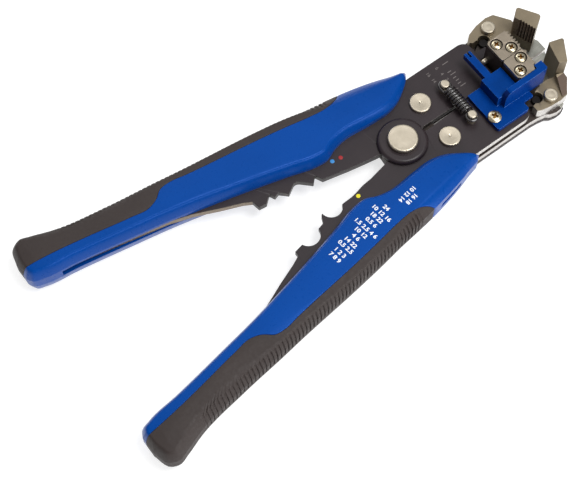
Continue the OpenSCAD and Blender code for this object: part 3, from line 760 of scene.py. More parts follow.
# ----------------------------------------------------------------- handles
# x, y, bevel width, drop of the top below the thickest place, share of the rounder grip section
INNER = [(21, 18, 1.2), (19.5, 17, 1.2), (16.2, 13, 1.8), (13.4, 8, 2.2), (12.2, 3, 2.3), (12.3, -5, 2.3), (12.9, -17, 2.3),
         (12, -21.5, 2.3), (10.2, -26, 2.3), (10.5, -31, 2.3), (13, -40, 2.3), (15.7, -50, 2.3), (18.2, -60, 2.3), (20.6, -70, 2.3),
         (23.3, -82, 2.3), (26.6, -100, 2.3), (30, -120, 2.3), (31.7, -132, 2.3), (33, -135.6, 2.3), (35.2, -137, 2.3)]
OUTER = [(22.4, 16.4, 1.4), (23.4, 12, 2.4), (24.6, 8, 3.2), (25.9, 3, 4), (27.6, -5, 4.4), (29.6, -17, 3.8), (30.4, -22, 2.8),
         (31.1, -26, 2.2), (31.9, -31, 1.8), (33.1, -40, 1.5), (34.5, -50, 1.6), (35.8, -60, 1.9), (37.1, -70, 2.2), (38.9, -82, 2.7),
         (41.3, -100, 3.3), (44.9, -120, 3.1), (47.6, -127.6, 3), (48.7, -131.4, 2.8), (47.2, -134.9, 2.6), (41.5, -137, 2.4)]
DROP = [3.4, 3, 2.6, 2.2, 1.8, 1.3, 0.9, 0.8, 0.7, 0.6, 0.6, 0.5, 0.4, 0.2, 0.1, 0, 0, 0.2, 0.4, 0.6]
ROUND = [0, 0, 0, 0, 0, 0.3, 0.6, 0.8, 1, 1, 1, 1, 1, 1, 1, 1, 1, 1, 1, 1]
INNER = [q + (DROP[k], ROUND[k]) for k, q in enumerate(INNER)]
OUTER = [q + (DROP[k], ROUND[k]) for k, q in enumerate(OUTER)]
SEAM = [(29, -7.2), (27.2, -9), (25.8, -12), (25.2, -16.5), (25.7, -22), (27.4, -32), (29, -42), (30.4, -52), (31.7, -62), (33.1, -71.6),
        (34.1, -77.5), (33.8, -81.5), (31.1, -85.4), (29.9, -89.4), (30.8, -96), (33.5, -111), (35.2, -121), (36.5, -130.7), (37.2, -138)]
H_MAX = 16.6


def hermite(pts):
    """Chord-length cubic through the points; returns f(i, s) for stretch i and share s."""
    P = np.array(pts, float)
    h = np.linalg.norm(np.diff(P[:, :2], axis=0), axis=1)
    d = np.diff(P, axis=0) / h[:, None]
    m = np.zeros_like(P)
    m[0], m[-1] = d[0], d[-1]
    for i in range(1, len(P) - 1):
        m[i] = (d[i] * h[i - 1] + d[i - 1] * h[i]) / (h[i] + h[i - 1])

    def f(i, s):
        a, b = P[i], P[i + 1]
        return ((2 * s ** 3 - 3 * s ** 2 + 1) * a + (s ** 3 - 2 * s ** 2 + s) * h[i] * m[i]
                + (-2 * s ** 3 + 3 * s ** 2) * b + (s ** 3 - s ** 2) * h[i] * m[i + 1])
    return f


f_in, f_out = hermite(INNER), hermite(OUTER)
f_seam = hermite(SEAM)
seam_pts = np.array([f_seam(i, s)[:2] for i in range(len(SEAM) - 1) for s in np.linspace(0, 1, 12, endpoint=False)] + [SEAM[-1]])
edge_in = np.array([f_in(i, s) for i in range(19) for s in np.linspace(0, 1, 14, endpoint=False)] + [INNER[-1]])
edge_out = np.array([f_out(i, s) for i in range(19) for s in np.linspace(0, 1, 14, endpoint=False)] + [OUTER[-1]])
ring = np.vstack([edge_in, edge_out[::-1]])
ring_a, ring_b = ring, np.roll(ring, -1, axis=0)


def edge_share(x, y):
    """Distance to the outline over the bevel's width there (0 at the edge, 1 where the top begins)."""
    p = np.stack([np.atleast_1d(x), np.atleast_1d(y)], -1)
    best = np.full(len(p), 1e9)
    for k in range(0, len(p), 4000):
        q = p[k:k + 4000, None, :]
        a, b = ring_a[None, :, :2], ring_b[None, :, :2]
        ab = b - a
        t = np.clip(((q - a) * ab).sum(-1) / np.maximum((ab * ab).sum(-1), 1e-12), 0, 1)
        d = np.linalg.norm(q - a - ab * t[..., None], axis=-1)
        w = ring_a[None, :, 2] * (1 - t) + ring_b[None, :, 2] * t
        best[k:k + 4000] = (d / w).min(1)
    return best


def section(u, drop, rnd):
    """Heights of the top and bottom skin at the share u of the bevel."""
    u = np.clip(u, 0, 1)
    lo, hi = drop, H_MAX - drop
    p = 1.65 + 0.35 * rnd
    g = 1 - (1 - u) ** p
    ft, fb = 0.80 - 0.10 * rnd, 0.20 + 0.20 * rnd
    h = hi - lo
    return lo + h * (ft + (1 - ft) * g), lo + h * fb * (1 - g)


def seam_share(pi, po):
    """Where the line from pi to po crosses the grip's edge, as a share, or None."""
    d = po - pi
    a, b = seam_pts[:-1], seam_pts[1:]
    e = b - a
    den = d[0] * e[:, 1] - d[1] * e[:, 0]
    den = np.where(abs(den) < 1e-9, 1e-9, den)
    w = a - pi
    s = (w[:, 0] * e[:, 1] - w[:, 1] * e[:, 0]) / den
    t = (w[:, 0] * d[1] - w[:, 1] * d[0]) / den
    ok = (t >= -1e-6) & (t <= 1 + 1e-6) & (s > -0.2) & (s < 1.5)
    return float(s[ok].min()) if ok.any() else None


def stations(step_of):
    """(stretch, share) pairs down the handle with the wanted spacing."""
    out = []
    for i in range(19):
        L = max(np.linalg.norm(f_in(i, 1)[:2] - f_in(i, 0)[:2]), np.linalg.norm(f_out(i, 1)[:2] - f_out(i, 0)[:2]))
        y = (f_in(i, .5)[1] + f_out(i, .5)[1]) / 2
        n = max(2, int(math.ceil(L / step_of(i, y))))
        out += [(i, k / n) for k in range(n)]
    return out + [(18, 1.0)]


def spread(L, front, rear, mid):
    """Sample distances 0..L: dense front part, even middle, dense rear part."""
    k = min(1.0, 0.96 * L / (front[-1] + rear[0]))
    f, r = [d * k for d in front], [L - d * k for d in rear]
    m = np.linspace(f[-1], r[0], mid + 2)[1:-1]
    return np.array(f + list(m) + r)


def slot_depth(y):
    """Depth of the open slot along the inner wall."""
    if -125.4 <= y <= -80.0:
        return 1.9 * min(1.0, (-80.0 - y) / 2.5)
    return 0.0


def slit_depth(y):
    """Depth of the short slit in the outer wall near the head."""
    if -3.5 <= y <= 7.0:
        return 1.6 * min(1.0, (y + 3.5) / 1.0, (7.0 - y) / 1.0)
    return 0.0


def loft_bm(rows, mats_of=None):
    """Closed skin over equal rings, with flat ends."""
    bm = bmesh.new()
    V = [[bm.verts.new(p) for p in r] for r in rows]
    n = len(rows[0])
    for k in range(len(V) - 1):
        for i in range(n):
            j = (i + 1) % n
            bm.faces.new((V[k][i], V[k][j], V[k + 1][j], V[k + 1][i]))
    bm.faces.new(V[0][::-1])
    bm.faces.new(V[-1])
    bmesh.ops.remove_doubles(bm, verts=bm.verts, dist=0.004)
    bmesh.ops.dissolve_degenerate(bm, edges=bm.edges, dist=0.001)
    bmesh.ops.triangulate(bm, faces=[f for f in bm.faces if len(f.verts) > 4])
    bmesh.ops.recalc_face_normals(bm, faces=bm.faces)
    return bm


def handle_shell_bm():
    st = stations(lambda i, y: 0.32 if i in (0, 1, 17, 18) else (0.4 if i in (2, 16) else 0.9))
    rows = []
    for i, s in st:
        a, b = f_in(i, s), f_out(i, s)
        pi, po, wi, wo = a[:2], b[:2], a[2], b[2]
        W = np.linalg.norm(po - pi)
        e = (po - pi) / W
        q = seam_share(pi, po)
        has = q is not None and q < 1.0 and (i > 4 or (i == 4))
        q = min(q, 1.0) if has else 1.0
        L = W * q
        fade = float(np.clip((1 - q) / 0.22, 0, 1))
        front = [wi * k for k in (0, .03, .08, .15, .23, .32, .42, .53, .65, .78, .9, 1.0, 1.12, 1.35)]
        rear_o = [wo * k for k in (1.35, 1.15, 1.0, .88, .74, .6, .47, .35, .25, .16, .08, .03, 0)]
        rear_s = [1.6, 1.2, .95, .75, .6, .47, .36, .27, .19, .13, .08, .04, 0]
        rear = [o * (1 - fade) + t * fade for o, t in zip(rear_o, rear_s)]
        d = spread(L, front, rear, 7)
        P = pi + e * d[:, None]
        u = edge_share(P[:, 0], P[:, 1])
        u[0] = 0.0
        if not has:
            u[-1] = 0.0
        if (i, s) in ((0, 0.0), (18, 1.0)):
            u[:] = 0.0
        crown = 0.30 * (4 * (d / W) * (1 - d / W)) * np.clip((u - 1) / 1.5, 0, 1)
        drop, rnd = max((a[3] + b[3]) / 2, 0.0), (a[4] + b[4]) / 2
        zt, zb = section(u, drop, rnd)
        zt = zt - 0.30 + crown
        if has:
            r = 0.28 * min(1, fade * 3)
            if r > 1e-3:
                bk = np.clip(L - d, 0, r)
                roll = r - np.sqrt(np.maximum(r * r - (r - bk) ** 2, 0))
                zt = zt - roll
                zb = zb + roll
        top = [(p[0], p[1], z) for p, z in zip(P, zt)]
        pe = P[-1]
        zt1, zb1 = zt[-1], zb[-1]
        # outer (or seam) wall, downwards
        y = pe[1]
        sd = slit_depth(y) if not has else 0.0
        wall = []
        for f_, dep in ((0.9, 0), (0.72, 0), (0.60, 0), (0.60, 1), (0.30, 1), (0.30, 0), (0.15, 0)):
            z = zb1 + (zt1 - zb1) * f_
            wall.append((pe[0] - e[0] * sd * dep, pe[1] - e[1] * sd * dep, z))
        bot = [(p[0], p[1], z) for p, z in zip(P[::-1], zb[::-1])]
        z0, z1 = zb[0], zt[0]
        dep = slot_depth(pi[1])
        inner = [(pi[0], pi[1], z0 + 0.1)]
        for z, k in ((6.6, 0), (6.8, 0), (6.8, 1), (10.1, 1), (10.1, 0), (10.3, 0)):
            z = min(max(z, z0 + 0.2), z1 - 0.2)
            inner.append((pi[0] + e[0] * dep * k, pi[1] + e[1] * dep * k, z))
        inner.append((pi[0], pi[1], z1 - 0.1))
        rows.append(top + wall + bot + inner)
    return loft_bm(rows)


RIB_PITCH, RIB_Y0, RIB_Y1 = 1.72, -13.5, -118.5


def handle_grip_bm():
    st = stations(lambda i, y: 0.21 if 4 <= i <= 15 else 0.3)
    rows, info = [], []
    for i, s in st:
        a, b = f_in(i, s), f_out(i, s)
        pi, po, wi, wo = a[:2], b[:2], a[2], b[2]
        q = seam_share(pi, po)
        if i < 4 or q is None or q >= 0.995:
            continue
        W = np.linalg.norm(po - pi)
        e = (po - pi) / W
        L0, L = W * q, W * (1 - q)
        front = [0, .04, .08, .13, .19, .27, .36, .5]
        rear = [wo * k for k in (1.3, 1.15, 1.03, .94, .84, .74, .64, .54, .44, .34, .25, .16, .08, .03, 0)]
        d = spread(L, front, rear, 5)
        P = pi + e * (L0 + d)[:, None]
        u = edge_share(P[:, 0], P[:, 1])
        u[-1] = 0.0
        if (i, s) == (18, 1.0):
            u[:] = 0.0
        dd = (L0 + d) / W
        crown = 0.30 * (4 * dd * (1 - dd)) * np.clip((u - 1) / 1.5, 0, 1)
        drop, rnd = max((a[3] + b[3]) / 2, 0.0), (a[4] + b[4]) / 2
        zt, zb = section(u, drop, rnd)
        zt = zt - 0.30 + crown
        # the rubber stands a little proud of the shell, with a rolled edge at the seam
        r = min(0.30, L * 0.4)
        bk = np.clip(d, 0, r)
        roll = r - np.sqrt(np.maximum(r * r - (r - bk) ** 2, 0))
        lift = 0.12 * np.clip(L / 3, 0, 1)
        zt = zt + lift - roll
        zb = zb + roll
        yc = P[:, 1]
        ph = (RIB_Y0 - yc) / RIB_PITCH
        fr = ph - np.floor(ph)
        groove = np.clip(1 - np.abs(fr - 0.5) / 0.27, 0, 1)
        groove = groove * groove * (3 - 2 * groove)
        ends = np.clip((RIB_Y0 - yc) / 1.5, 0, 1) * np.clip((yc - RIB_Y1) / 1.5, 0, 1)
        side = np.clip((0.80 - u) / 0.2, 0, 1)
        side = side * side * (3 - 2 * side)
        cut = 0.60 * groove * ends * side
        # outward direction on the slope: mostly up near the top, out at the edge
        tilt = np.clip(1 - u / 0.80, 0, 1)
        out2 = e * 1.0
        X = P[:, 0] - out2[0] * cut * (0.35 + 0.65 * tilt)
        Y = P[:, 1] - out2[1] * cut * (0.35 + 0.65 * tilt)
        Z = zt - cut * (0.9 - 0.6 * tilt)
        top = list(zip(X, Y, Z))
        zt1, zb1 = Z[-1], zb[-1]
        g1 = cut[-1]
        wall = []
        for f_ in (0.95, 0.86, 0.72, 0.58, 0.44, 0.30, 0.16, 0.06):
            z = zb1 + (zt1 - zb1) * f_
            fade = min(1.0, f_ / 0.3)
            wall.append((P[-1, 0] - e[0] * g1 * fade, P[-1, 1] - e[1] * g1 * fade, z))
        bot = [(p[0], p[1], z) for p, z in zip(P[::-1], zb[::-1])]
        z0, z1 = zb[0], zt[0]
        seam = [(P[0, 0], P[0, 1], z0 + (z1 - z0) * k) for k in (0.2, 0.5, 0.8)]
        rows.append(top + wall + bot + seam)
    return loft_bm(rows)


shell = handle_shell_bm()
grip = handle_grip_bm()
SHELL_TREE = BVHTree.FromBMesh(shell)
l_shell, l_grip = mirror_bm(shell.copy()), mirror_bm(grip.copy())
for side, s_bm, g_bm in (("right", shell, grip), ("left", l_shell, l_grip)):
    o = new_object(side + "_shell_moulding", s_bm, ["blue"], sharp_deg=40)
    put(o, side + "_half", side + "_handle_shell", slot="shell_blue")
    o = new_object(side + "_grip_moulding", g_bm, ["rubber"], sharp_deg=60)
    put(o, side + "_half", side + "_handle_grip", slot="grip_rubber")

# ------------------------------------------------------------------ plates
FRONT_Z, FRONT_TOP, BOSS_TOP = 7.1, 9.6, 11.5


def plate_piece(node, z0, z1, top_up=True, ch=0.16, mats=("black", "worn", "shear", "ridge"), slot="black_plate", extra=(), special=(), r_sharp=0.2):
    loops = flat_loops(node, z1 if top_up else z0, up=top_up)
    loops = [l for l in loops if abs(area(l)) > 0.5]
    rounded = [fillet(loops[0], r_sharp=r_sharp, special=special)] + [l for l in loops[1:]]
    bm = slab_bm(rounded, z0, z1, ch=ch)
    for f in bm.faces:
        c = f.calc_center_median()
        if abs(c.x) > 17.5 and 17.0 < c.y < 45.0 and f.normal.x * c.x > 0 and abs(f.normal.x) > 0.3 and abs(f.normal.z) < 0.8:
            f.material_index = 2
        # the tang's inner edge along the handle's wall gets the lighter steel as a painted highlight
        if c.y < -58.0 and f.normal.x * c.x < 0 and abs(f.normal.z) < 0.8:
            f.material_index = 3
    for b in extra:
        bm = join_bm(bm, b)
    o = new_object(node + "_skin", bm, list(mats), sharp_deg=50)
    return put(weighted(o), BODY[node], node, slot=slot)


plate_piece("left_front_plate", FRONT_Z, FRONT_TOP)

# the boss on the right plate: a pressed dome that runs out onto its own half
boss_prof = [(3.3, 9.72), (8.9, 9.72), (9.25, 9.8), (9.3, 9.95)] + arc(7.9, 10.1, 1.4, 0, 90, 10)[1:] + [(6.6, BOSS_TOP), (6.2, BOSS_TOP - 0.02), (5.9, BOSS_TOP - 0.12), (3.3, BOSS_TOP - 0.12)]
boss_prof.append(boss_prof[0])
boss = lathe_bm(boss_prof, 96)
bmesh.ops.remove_doubles(boss, verts=boss.verts, dist=0.001)
boss = boolean(boss, box_bm(-0.9, 0.9, 8.3, 10.3, 9.6, 14))
plate_piece("right_front_plate", FRONT_Z, FRONT_TOP, top_up=False, extra=[boss])

for n, z0, z1, up in (("left_carrier_plate", 2.2, 5.2, True), ("right_carrier_plate", 2.2, 5.2, True),
                      ("left_back_cover", 1.0, 2.15, True), ("right_back_cover", 1.0, 2.15, True)):
    pl = "carrier" in n

    def tail(c, n_):
        # painted shade: the ends under the boss and the top behind the jaws get the dark steel
        if c.y < 1.0 or (n_.z > 0.9 and c.y < 57.0):
            return 2
        return 3 if abs(n_.z) < 0.9 else None
    soften(n, ["zinc", "bright", "dark", "shear"] if pl else ["black", "worn"], width=0.3 if pl else 0.12, edge_mat=1,
           paint_face=tail if pl else None, cuts=[((0, 57, 0), (0, 1, 0))] if pl else (), slot="zinc_plate" if pl else "black_plate")

# dark disc as painted shade at the bottom of the jaw levers' notches
for s, side in ((-1, "left"), (1, "right")):
    o = new_object(side + "_notch_shade_disc", lathe_bm([(0, 5.17), (2.9, 5.17), (3.0, 5.2), (2.9, 5.24), (0, 5.24)], 40, (15.0 * s, 50.3)), ["pin"])
    put(o, side + "_half", slot="zinc_plate")

# ------------------------------------------------------------------ rivets
def head_profile(r, z0, h, rim=0.45, dimple=0.0):
    p = [(0, z0), (r - 0.12, z0), (r, z0 + 0.14), (r, z0 + h - rim)]
    p += arc(r - rim, z0 + h - rim, rim, 0, 82, 6)[1:]
    p += [(r - rim - 0.35, z0 + h - 0.02), (r - rim - 0.7, z0 + h - 0.06)]
    if dimple:
        p += [(dimple + 0.25, z0 + h - 0.05), (dimple, z0 + h - 0.10), (dimple * 0.4, z0 + h - 0.26), (0, z0 + h - 0.30)]
    else:
        p += [((r - rim) * 0.5, z0 + h - 0.03), (0, z0 + h)]
    return p


def foot_profile(r, z0, h):
    return [(0, z0), (r - 0.35, z0), (r - 0.1, z0 + 0.12), (r, z0 + 0.35), (r, z0 + h), (0, z0 + h)]


def rivet(node, at, parts, slot="nickel", mats=("turned",)):
    bms = [lathe_bm(p, 80, at) for p in parts]
    o = new_object(node + "_turned", join_bm(*bms), list(mats), origin=(at[0], at[1], 0), sharp_deg=30)
    return put(o, BODY[node], node, slot=slot)


rivet("main_rivet", (0, 0), [head_profile(5.5, 11.55, 1.7, 0.5), [(0, 0.95), (3.2, 0.95), (3.2, 11.55), (0, 11.55)], foot_profile(5.5, 0.0, 0.95)])
for s, side in ((-1, "left"), (1, "right")):
    rivet(side + "_plate_rivet", (8.5 * s, 15), [head_profile(4, 9.6, 1.2, 0.42, 0.42), [(0, 0.9), (2.5, 0.9), (2.5, 5.2), (2.9, 5.2), (2.9, 7.1), (2.5, 7.1), (2.5, 9.6), (0, 9.6)], foot_profile(4, 0.1, 0.9)])
    rivet(side + "_jaw_rivet", (17.7 * s, 54.5), [head_profile(2.6, 10.25, 2.05, 0.46), [(0, 2.2), (1.9, 2.2), (1.9, 10.25), (0, 10.25)], foot_profile(2.95, 1.0, 1.2)])
    rivet(side + "_spring_post", (7.7 * s, 25.5),
          [[(0, 7.1), (1.2, 7.1), (1.2, 9.6), (1.7, 9.6), (1.7, 11.95), (1.55, 12.15), (1.4, 12.25), (1.4, 13.35), (1.55, 13.45), (1.7, 13.65), (1.7, 14.05)]
           + arc(1.25, 14.05, 0.45, 0, 85, 6)[1:] + [(0.8, 14.49), (0, 14.5)]], slot="post_steel", mats=("nickel",))

# ------------------------------------------------------- blocks and plates
soften("left_block", ["dark", "bright"], width=0.14, slot="block_dark")
soften("right_block", ["dark", "bright"], width=0.14, slot="block_dark")
TP = 21.0


def block_plate(side):
    s = -1 if side == "left" else 1

    def pf(c, n):
        # painted highlight on the rear bevel and painted shade in the dark counterbore rings round the screws
        for x, y in ((2.6, 51.3), (6.7, 47.7)):
            r = math.hypot(c.x - s * x, c.y - y)
            if r < 2.5 and (n.z < 0.9 or c.z < TP - 0.5):
                return 2
        if n.y < -0.3 and c.z > TP - 1.2:
            return 1
        return None
    return soften(side + "_block_plate", ["sinter", "bright", "dark"], width=0.16, segs=2, edge_mat=0, paint_face=pf, slot="sintered")


block_plate("left")
block_plate("right")


def screw_bm(x, y, z_seat, r, h, shank_r, z_low, turn, recess_r, recess_d):
    top = z_seat + h
    prof = [(0, z_low), (shank_r - 0.15, z_low), (shank_r, z_low + 0.2), (shank_r, z_seat), (r, z_seat), (r, z_seat + h * 0.45)]
    prof += [(r - 0.12 * r, z_seat + h * 0.72), (r * 0.72, z_seat + h * 0.9), (r * 0.5, z_seat + h * 0.97), (r * 0.25, top - 0.005), (0, top)]
    bm = lathe_bm(prof, 64)
    w = recess_r * 0.33
    cut = bmesh.new()
    # tapered cross: two crossed wedges meeting at a point below
    for a in (0, math.pi / 2):
        c, s_ = math.cos(a + turn), math.sin(a + turn)

        def P(u, v, z):
            return cut.verts.new((u * c - v * s_, u * s_ + v * c, z))
        t = [P(-recess_r, -w, top + 0.3), P(recess_r, -w, top + 0.3), P(recess_r, w, top + 0.3), P(-recess_r, w, top + 0.3)]
        k = 0.35
        b = [P(-recess_r * k, -w * 0.6, top - recess_d), P(recess_r * k, -w * 0.6, top - recess_d), P(recess_r * k, w * 0.6, top - recess_d), P(-recess_r * k, w * 0.6, top - recess_d)]
        faces = [(t[0], t[1], t[2], t[3]), (b[3], b[2], b[1], b[0])] + [(t[(i + 1) % 4], t[i], b[i], b[(i + 1) % 4]) for i in range(4)]
        for f in faces:
            cut.faces.new(f).material_index = 1
        bmesh.ops.recalc_face_normals(cut, faces=cut.faces)
    if True:
        parts = []
        for half in range(2):
            h_ = cut.copy()
            fs = list(h_.faces)
            drop = fs[6:] if half == 0 else fs[:6]
            bmesh.ops.delete(h_, geom=drop, context="FACES")
            parts.append(h_)
        cut.free()
        for p in parts:
            bm = boolean(bm, p)
    bmesh.ops.translate(bm, verts=bm.verts, vec=(x, y, 0))
    return bm


for s, side, turns in ((-1, "left", (0.5, 0.2)), (1, "right", (0.9, 0.35))):
    bms = [screw_bm(s * x, y, TP - 0.74, 1.95, 1.05, 1.2, 12.0, t, 1.3, 1.0) for (x, y), t in zip(((2.6, 51.3), (6.7, 47.7)), turns)]
    o = new_object(side + "_block_screws_cross", join_bm(*bms), ["screw", "recess"], sharp_deg=30)
    put(o, "left_half" if side == "left" else "right_half", side + "_block_screws", slot="screw_plated")

soften("left_grip_pad", ["pin", "bright"], width=0.05, segs=1, slot="sintered")
soften("right_blade_pack", ["blade", "bright"], width=0.05, segs=1, slot="blade_steel")
soften("adjuster_pin", ["nickel", "bright"], width=0.0, slot="nickel")
for n in ("left_cam", "right_cam", "left_rocker", "right_rocker"):
    soften(n, ["dark", "worn"], width=0.1, segs=1, edge_mat=1, slot="tool_steel")
for n in ("left_cam_key", "right_cam_key", "left_rocker_pin", "right_rocker_pin"):
    soften(n, ["pin", "pin"], width=0.12, segs=2, edge_mat=1, slot="tool_steel")
soften("wire_stop_nut", ["screw", "bright"], width=0.15, segs=2, slot="screw_plated")

# -------------------------------------------------------------------- jaws
def left_jaw_faces(c, n):
    # painted shade in the grooves and on the underside, painted highlight on the flat ridge tops
    if c.z > 10.6 and n.z < 0.5 and n.y < 0.0:
        return 1 if n.x * 0.302 - n.y * 0.953 > 0.95 and c.x > -9.6 else 2
    if n.z < -0.5:
        return 2
    return None


def lever_top(e):
    return all(abs(v.co.z - 10.2) < 0.01 for v in e.verts)


soften("left_jaw", ["jaw", "ridge", "jaw_shade"], width=0.13, segs=2, edge_mat=0, first=(lever_top, 0.3, 3), paint_face=left_jaw_faces, slot="tool_steel",
       corners=[((-14.6, 63.8), 1.2, 6), ((-6.5, 68.9), 1.3, 7), ((-3.0, 63.2), 0.7, 5)])
def right_jaw_faces(c, n):
    # painted reflection: the lever's outer wall gets the bright steel; painted shade: the gusset and the inner face get
    # the dark steel
    if c.z < 10.0 and abs(n.z) < 0.5 and c.y < 60.5 and n.x - n.y > 0.4 and (c.x > 16.0 or c.y < 47.5):
        return 1
    if (0.05 < n.z < 0.95 and c.y > 57.0 and 10.6 < c.z < 13.3 and c.x > 13.5) or (c.z > 10.6 and n.x < -0.6):
        return 2
    return None


soften("right_jaw", ["jaw", "shear", "jaw_shade"], width=0.20, segs=3, edge_mat=0, first=(lever_top, 0.3, 3), paint_face=right_jaw_faces, slot="tool_steel",
       corners=[((5.6, 69.0), 1.0, 6), ((3.9, 63.3), 0.5, 4), ((12.7, 60.8), 0.6, 5), ((13.9, 63.7), 0.8, 5), ((13.9, 63.9), 0.8, 5)])

# -------------------------------------------------------------- wire stop
def stop_faces(c, n):
    # faces turned towards the handle and the underside take the dark blue as painted shade
    return 2 if n.y < -0.6 or n.z < -0.5 else None


soften("wire_stop", ["stop", "stop_edge_highlight", "stop_painted_shade"], width=0.30, segs=3, edge_mat=1, paint_face=stop_faces, slot="stop_blue",
       corners=[((17.4, 30), 1.0, 6), ((17.4, 44.6), 0.8, 5), ((11.7, 56.5), 0.8, 5), ((14.2, 49.2), 0.4, 4)])
bm = screw_bm(12.6, 32.2, 11.65, 2.5, 1.3, 1.2, 5.3, 0.6, 1.55, 1.0)
put(new_object("wire_stop_screw_cross", bm, ["screw", "recess"], sharp_deg=30), "wire_stop", "wire_stop_screw", slot="screw_plated")

# ----------------------------------------------------------------- spring
def tube(name, pts, r, mats, sides=14):
    """Round wire along points in millimetres, closed with rounded ends."""
    P = [Vector(p) for p in pts]
    n = len(P)
    T = [(P[min(i + 1, n - 1)] - P[max(i - 1, 0)]).normalized() for i in range(n)]
    N = T[0].orthogonal().normalized()
    bm = bmesh.new()
    rings = []
    for i in range(n):
        if i:
            ax = T[i - 1].cross(T[i])
            if ax.length > 1e-9:
                N = Matrix.Rotation(T[i - 1].angle(T[i]), 3, ax.normalized()) @ N
        N = (N - T[i] * N.dot(T[i])).normalized()
        B = T[i].cross(N)
        rings.append([bm.verts.new(P[i] + (N * math.cos(a) + B * math.sin(a)) * r) for a in (2 * math.pi * k / sides for k in range(sides))])
    for k in range(n - 1):
        for i in range(sides):
            j = (i + 1) % sides
            bm.faces.new((rings[k][i], rings[k][j], rings[k + 1][j], rings[k + 1][i]))
    for ringv, c, sgn in ((rings[0], P[0] - T[0] * r * 0.5, 1), (rings[-1], P[-1] + T[-1] * r * 0.5, -1)):
        tip = bm.verts.new(c)
        for i in range(sides):
            j = (i + 1) % sides
            bm.faces.new((ringv[j], ringv[i], tip) if sgn == 1 else (ringv[i], ringv[j], tip))
    bmesh.ops.recalc_face_normals(bm, faces=bm.faces)
    return bm


SP_Y, SP_Z, SP_R, WIRE = 25.5, 12.8, 1.98, 0.52
x0, x1, turns = -5.2, 5.0, 8.5
pts = []
# left hook: from behind the post, round its outer side
hook_r = 1.4 + WIRE + 0.1
for a in np.linspace(40, 270, 26):
    pts.append((-7.7 + hook_r * math.cos(math.radians(a)), SP_Y + hook_r * math.sin(math.radians(a)), SP_Z))
a_start = -90
xs = np.linspace(0, 1, 9)
for s in xs[1:]:
    k = s * s * (3 - 2 * s)
    pts.append((-7.7 + (x0 + 7.7) * s, SP_Y - hook_r + (hook_r - SP_R) * k, SP_Z))
n = int(turns * 28)
for i in range(1, n):
    a = math.radians(-90 + 360 * turns * i / n)
    pts.append((x0 + (x1 - x0) * i / n, SP_Y + SP_R * math.sin(a), SP_Z + SP_R * math.cos(a)))
a_end = math.radians(-90 + 360 * turns)
for s in xs[1:]:
    k = s * s * (3 - 2 * s)
    pts.append((x1 + (7.7 - x1) * s, SP_Y + SP_R * math.sin(a_end) + (math.copysign(hook_r, math.sin(a_end)) - SP_R * math.sin(a_end)) * k, SP_Z + SP_R * math.cos(a_end) * (1 - k)))
sg = 1 if math.sin(a_end) > 0 else -1
for a in np.linspace(90, -150, 26)[1:]:
    pts.append((7.7 + hook_r * math.cos(math.radians(a)), SP_Y + sg * hook_r * math.sin(math.radians(a)), SP_Z))
bm = tube("spring", pts, WIRE, None)
sp = new_object("return_spring_coil", bm, ["spring"], sharp_deg=60)
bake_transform(sp)
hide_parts("return_spring")

# ----------------------------------------------- printed and engraved marks
def thin_box(bm, x, y, w, h, z, t=0.03, turn=0.0):
    b = box_bm(-w / 2, w / 2, -h / 2, h / 2, z - 0.02, z + t, 0, turn, (x, y))
    return join_bm(bm, b) if bm else b


def digits(text, x, y, z, size, turn, t=0.03, bold=0.0, squeeze=1.0):
    """Plain figures as a thin closed solid standing on the surface."""
    cu = bpy.data.curves.new("digits", "FONT")
    cu.body, cu.size, cu.align_x, cu.align_y = text, size, "CENTER", "CENTER"
    cu.extrude = t / 2 + 0.01
    cu.offset = bold
    cu.resolution_u = 3
    o = bpy.data.objects.new("digits", cu)
    scene.collection.objects.link(o)
    bpy.context.view_layer.update()
    me = bpy.data.meshes.new_from_object(o.evaluated_get(bpy.context.evaluated_depsgraph_get()))
    bm = bmesh.new()
    bm.from_mesh(me)
    bpy.data.objects.remove(o)
    bpy.data.curves.remove(cu)
    bpy.data.meshes.remove(me)
    bmesh.ops.remove_doubles(bm, verts=bm.verts, dist=0.0005)
    bmesh.ops.scale(bm, verts=bm.verts, vec=(squeeze, 1, 1))
    bmesh.ops.rotate(bm, verts=bm.verts, cent=(0, 0, 0), matrix=Matrix.Rotation(turn, 3, "Z"))
    bmesh.ops.translate(bm, verts=bm.verts, vec=(x, y, z + t / 2 - 0.01))
    for f in bm.faces:
        f.material_index = 0
    return bm


def wrap(bm):
    """Lays thin figures made about z = 0 onto the shell's top skin."""
    for v in bm.verts:
        hit = SHELL_TREE.ray_cast(Vector((v.co.x, v.co.y, 30)), Vector((0, 0, -1)))[0]
        v.co.z += hit.z if hit else 15.0
    return bm


rows = [("24", 19.0, -22.9, 1), ("10 12 16", 19.6, -25.5, 1), ("18 22", 19.9, -27.9, 1), ("0.5 6", 20.3, -30.5, 1), ("1.5 2.5 4 6", 20.9, -33.4, 1), ("10 12", 21.2, -35.8, 1),
        ("4 6", 21.6, -38.2, 1), ("14 22", 22.0, -40.9, 1), ("0.5 2.5", 22.4, -43.3, 1), ("1 2 3", 22.9, -46.1, 1), ("7 8 9", 23.3, -48.6, 1)]
bm = None
for t, x, y, _ in rows:
    b = wrap(digits(t, x, y, 0.0, 2.15, math.radians(8), 0.05, 0.06, 1.12))
    bm = join_bm(bm, b) if bm else b
for t, x, y in (("10 12 14", 19.0, -13.5), ("16 18", 21.4, -13.4)):
    bm = join_bm(bm, wrap(digits(t, x, y, 0.0, 2.15, math.radians(-81), 0.05, 0.06, 1.05)))
put(new_object("right_handle_figures", bm, ["white"]), "right_half", slot="shell_blue")

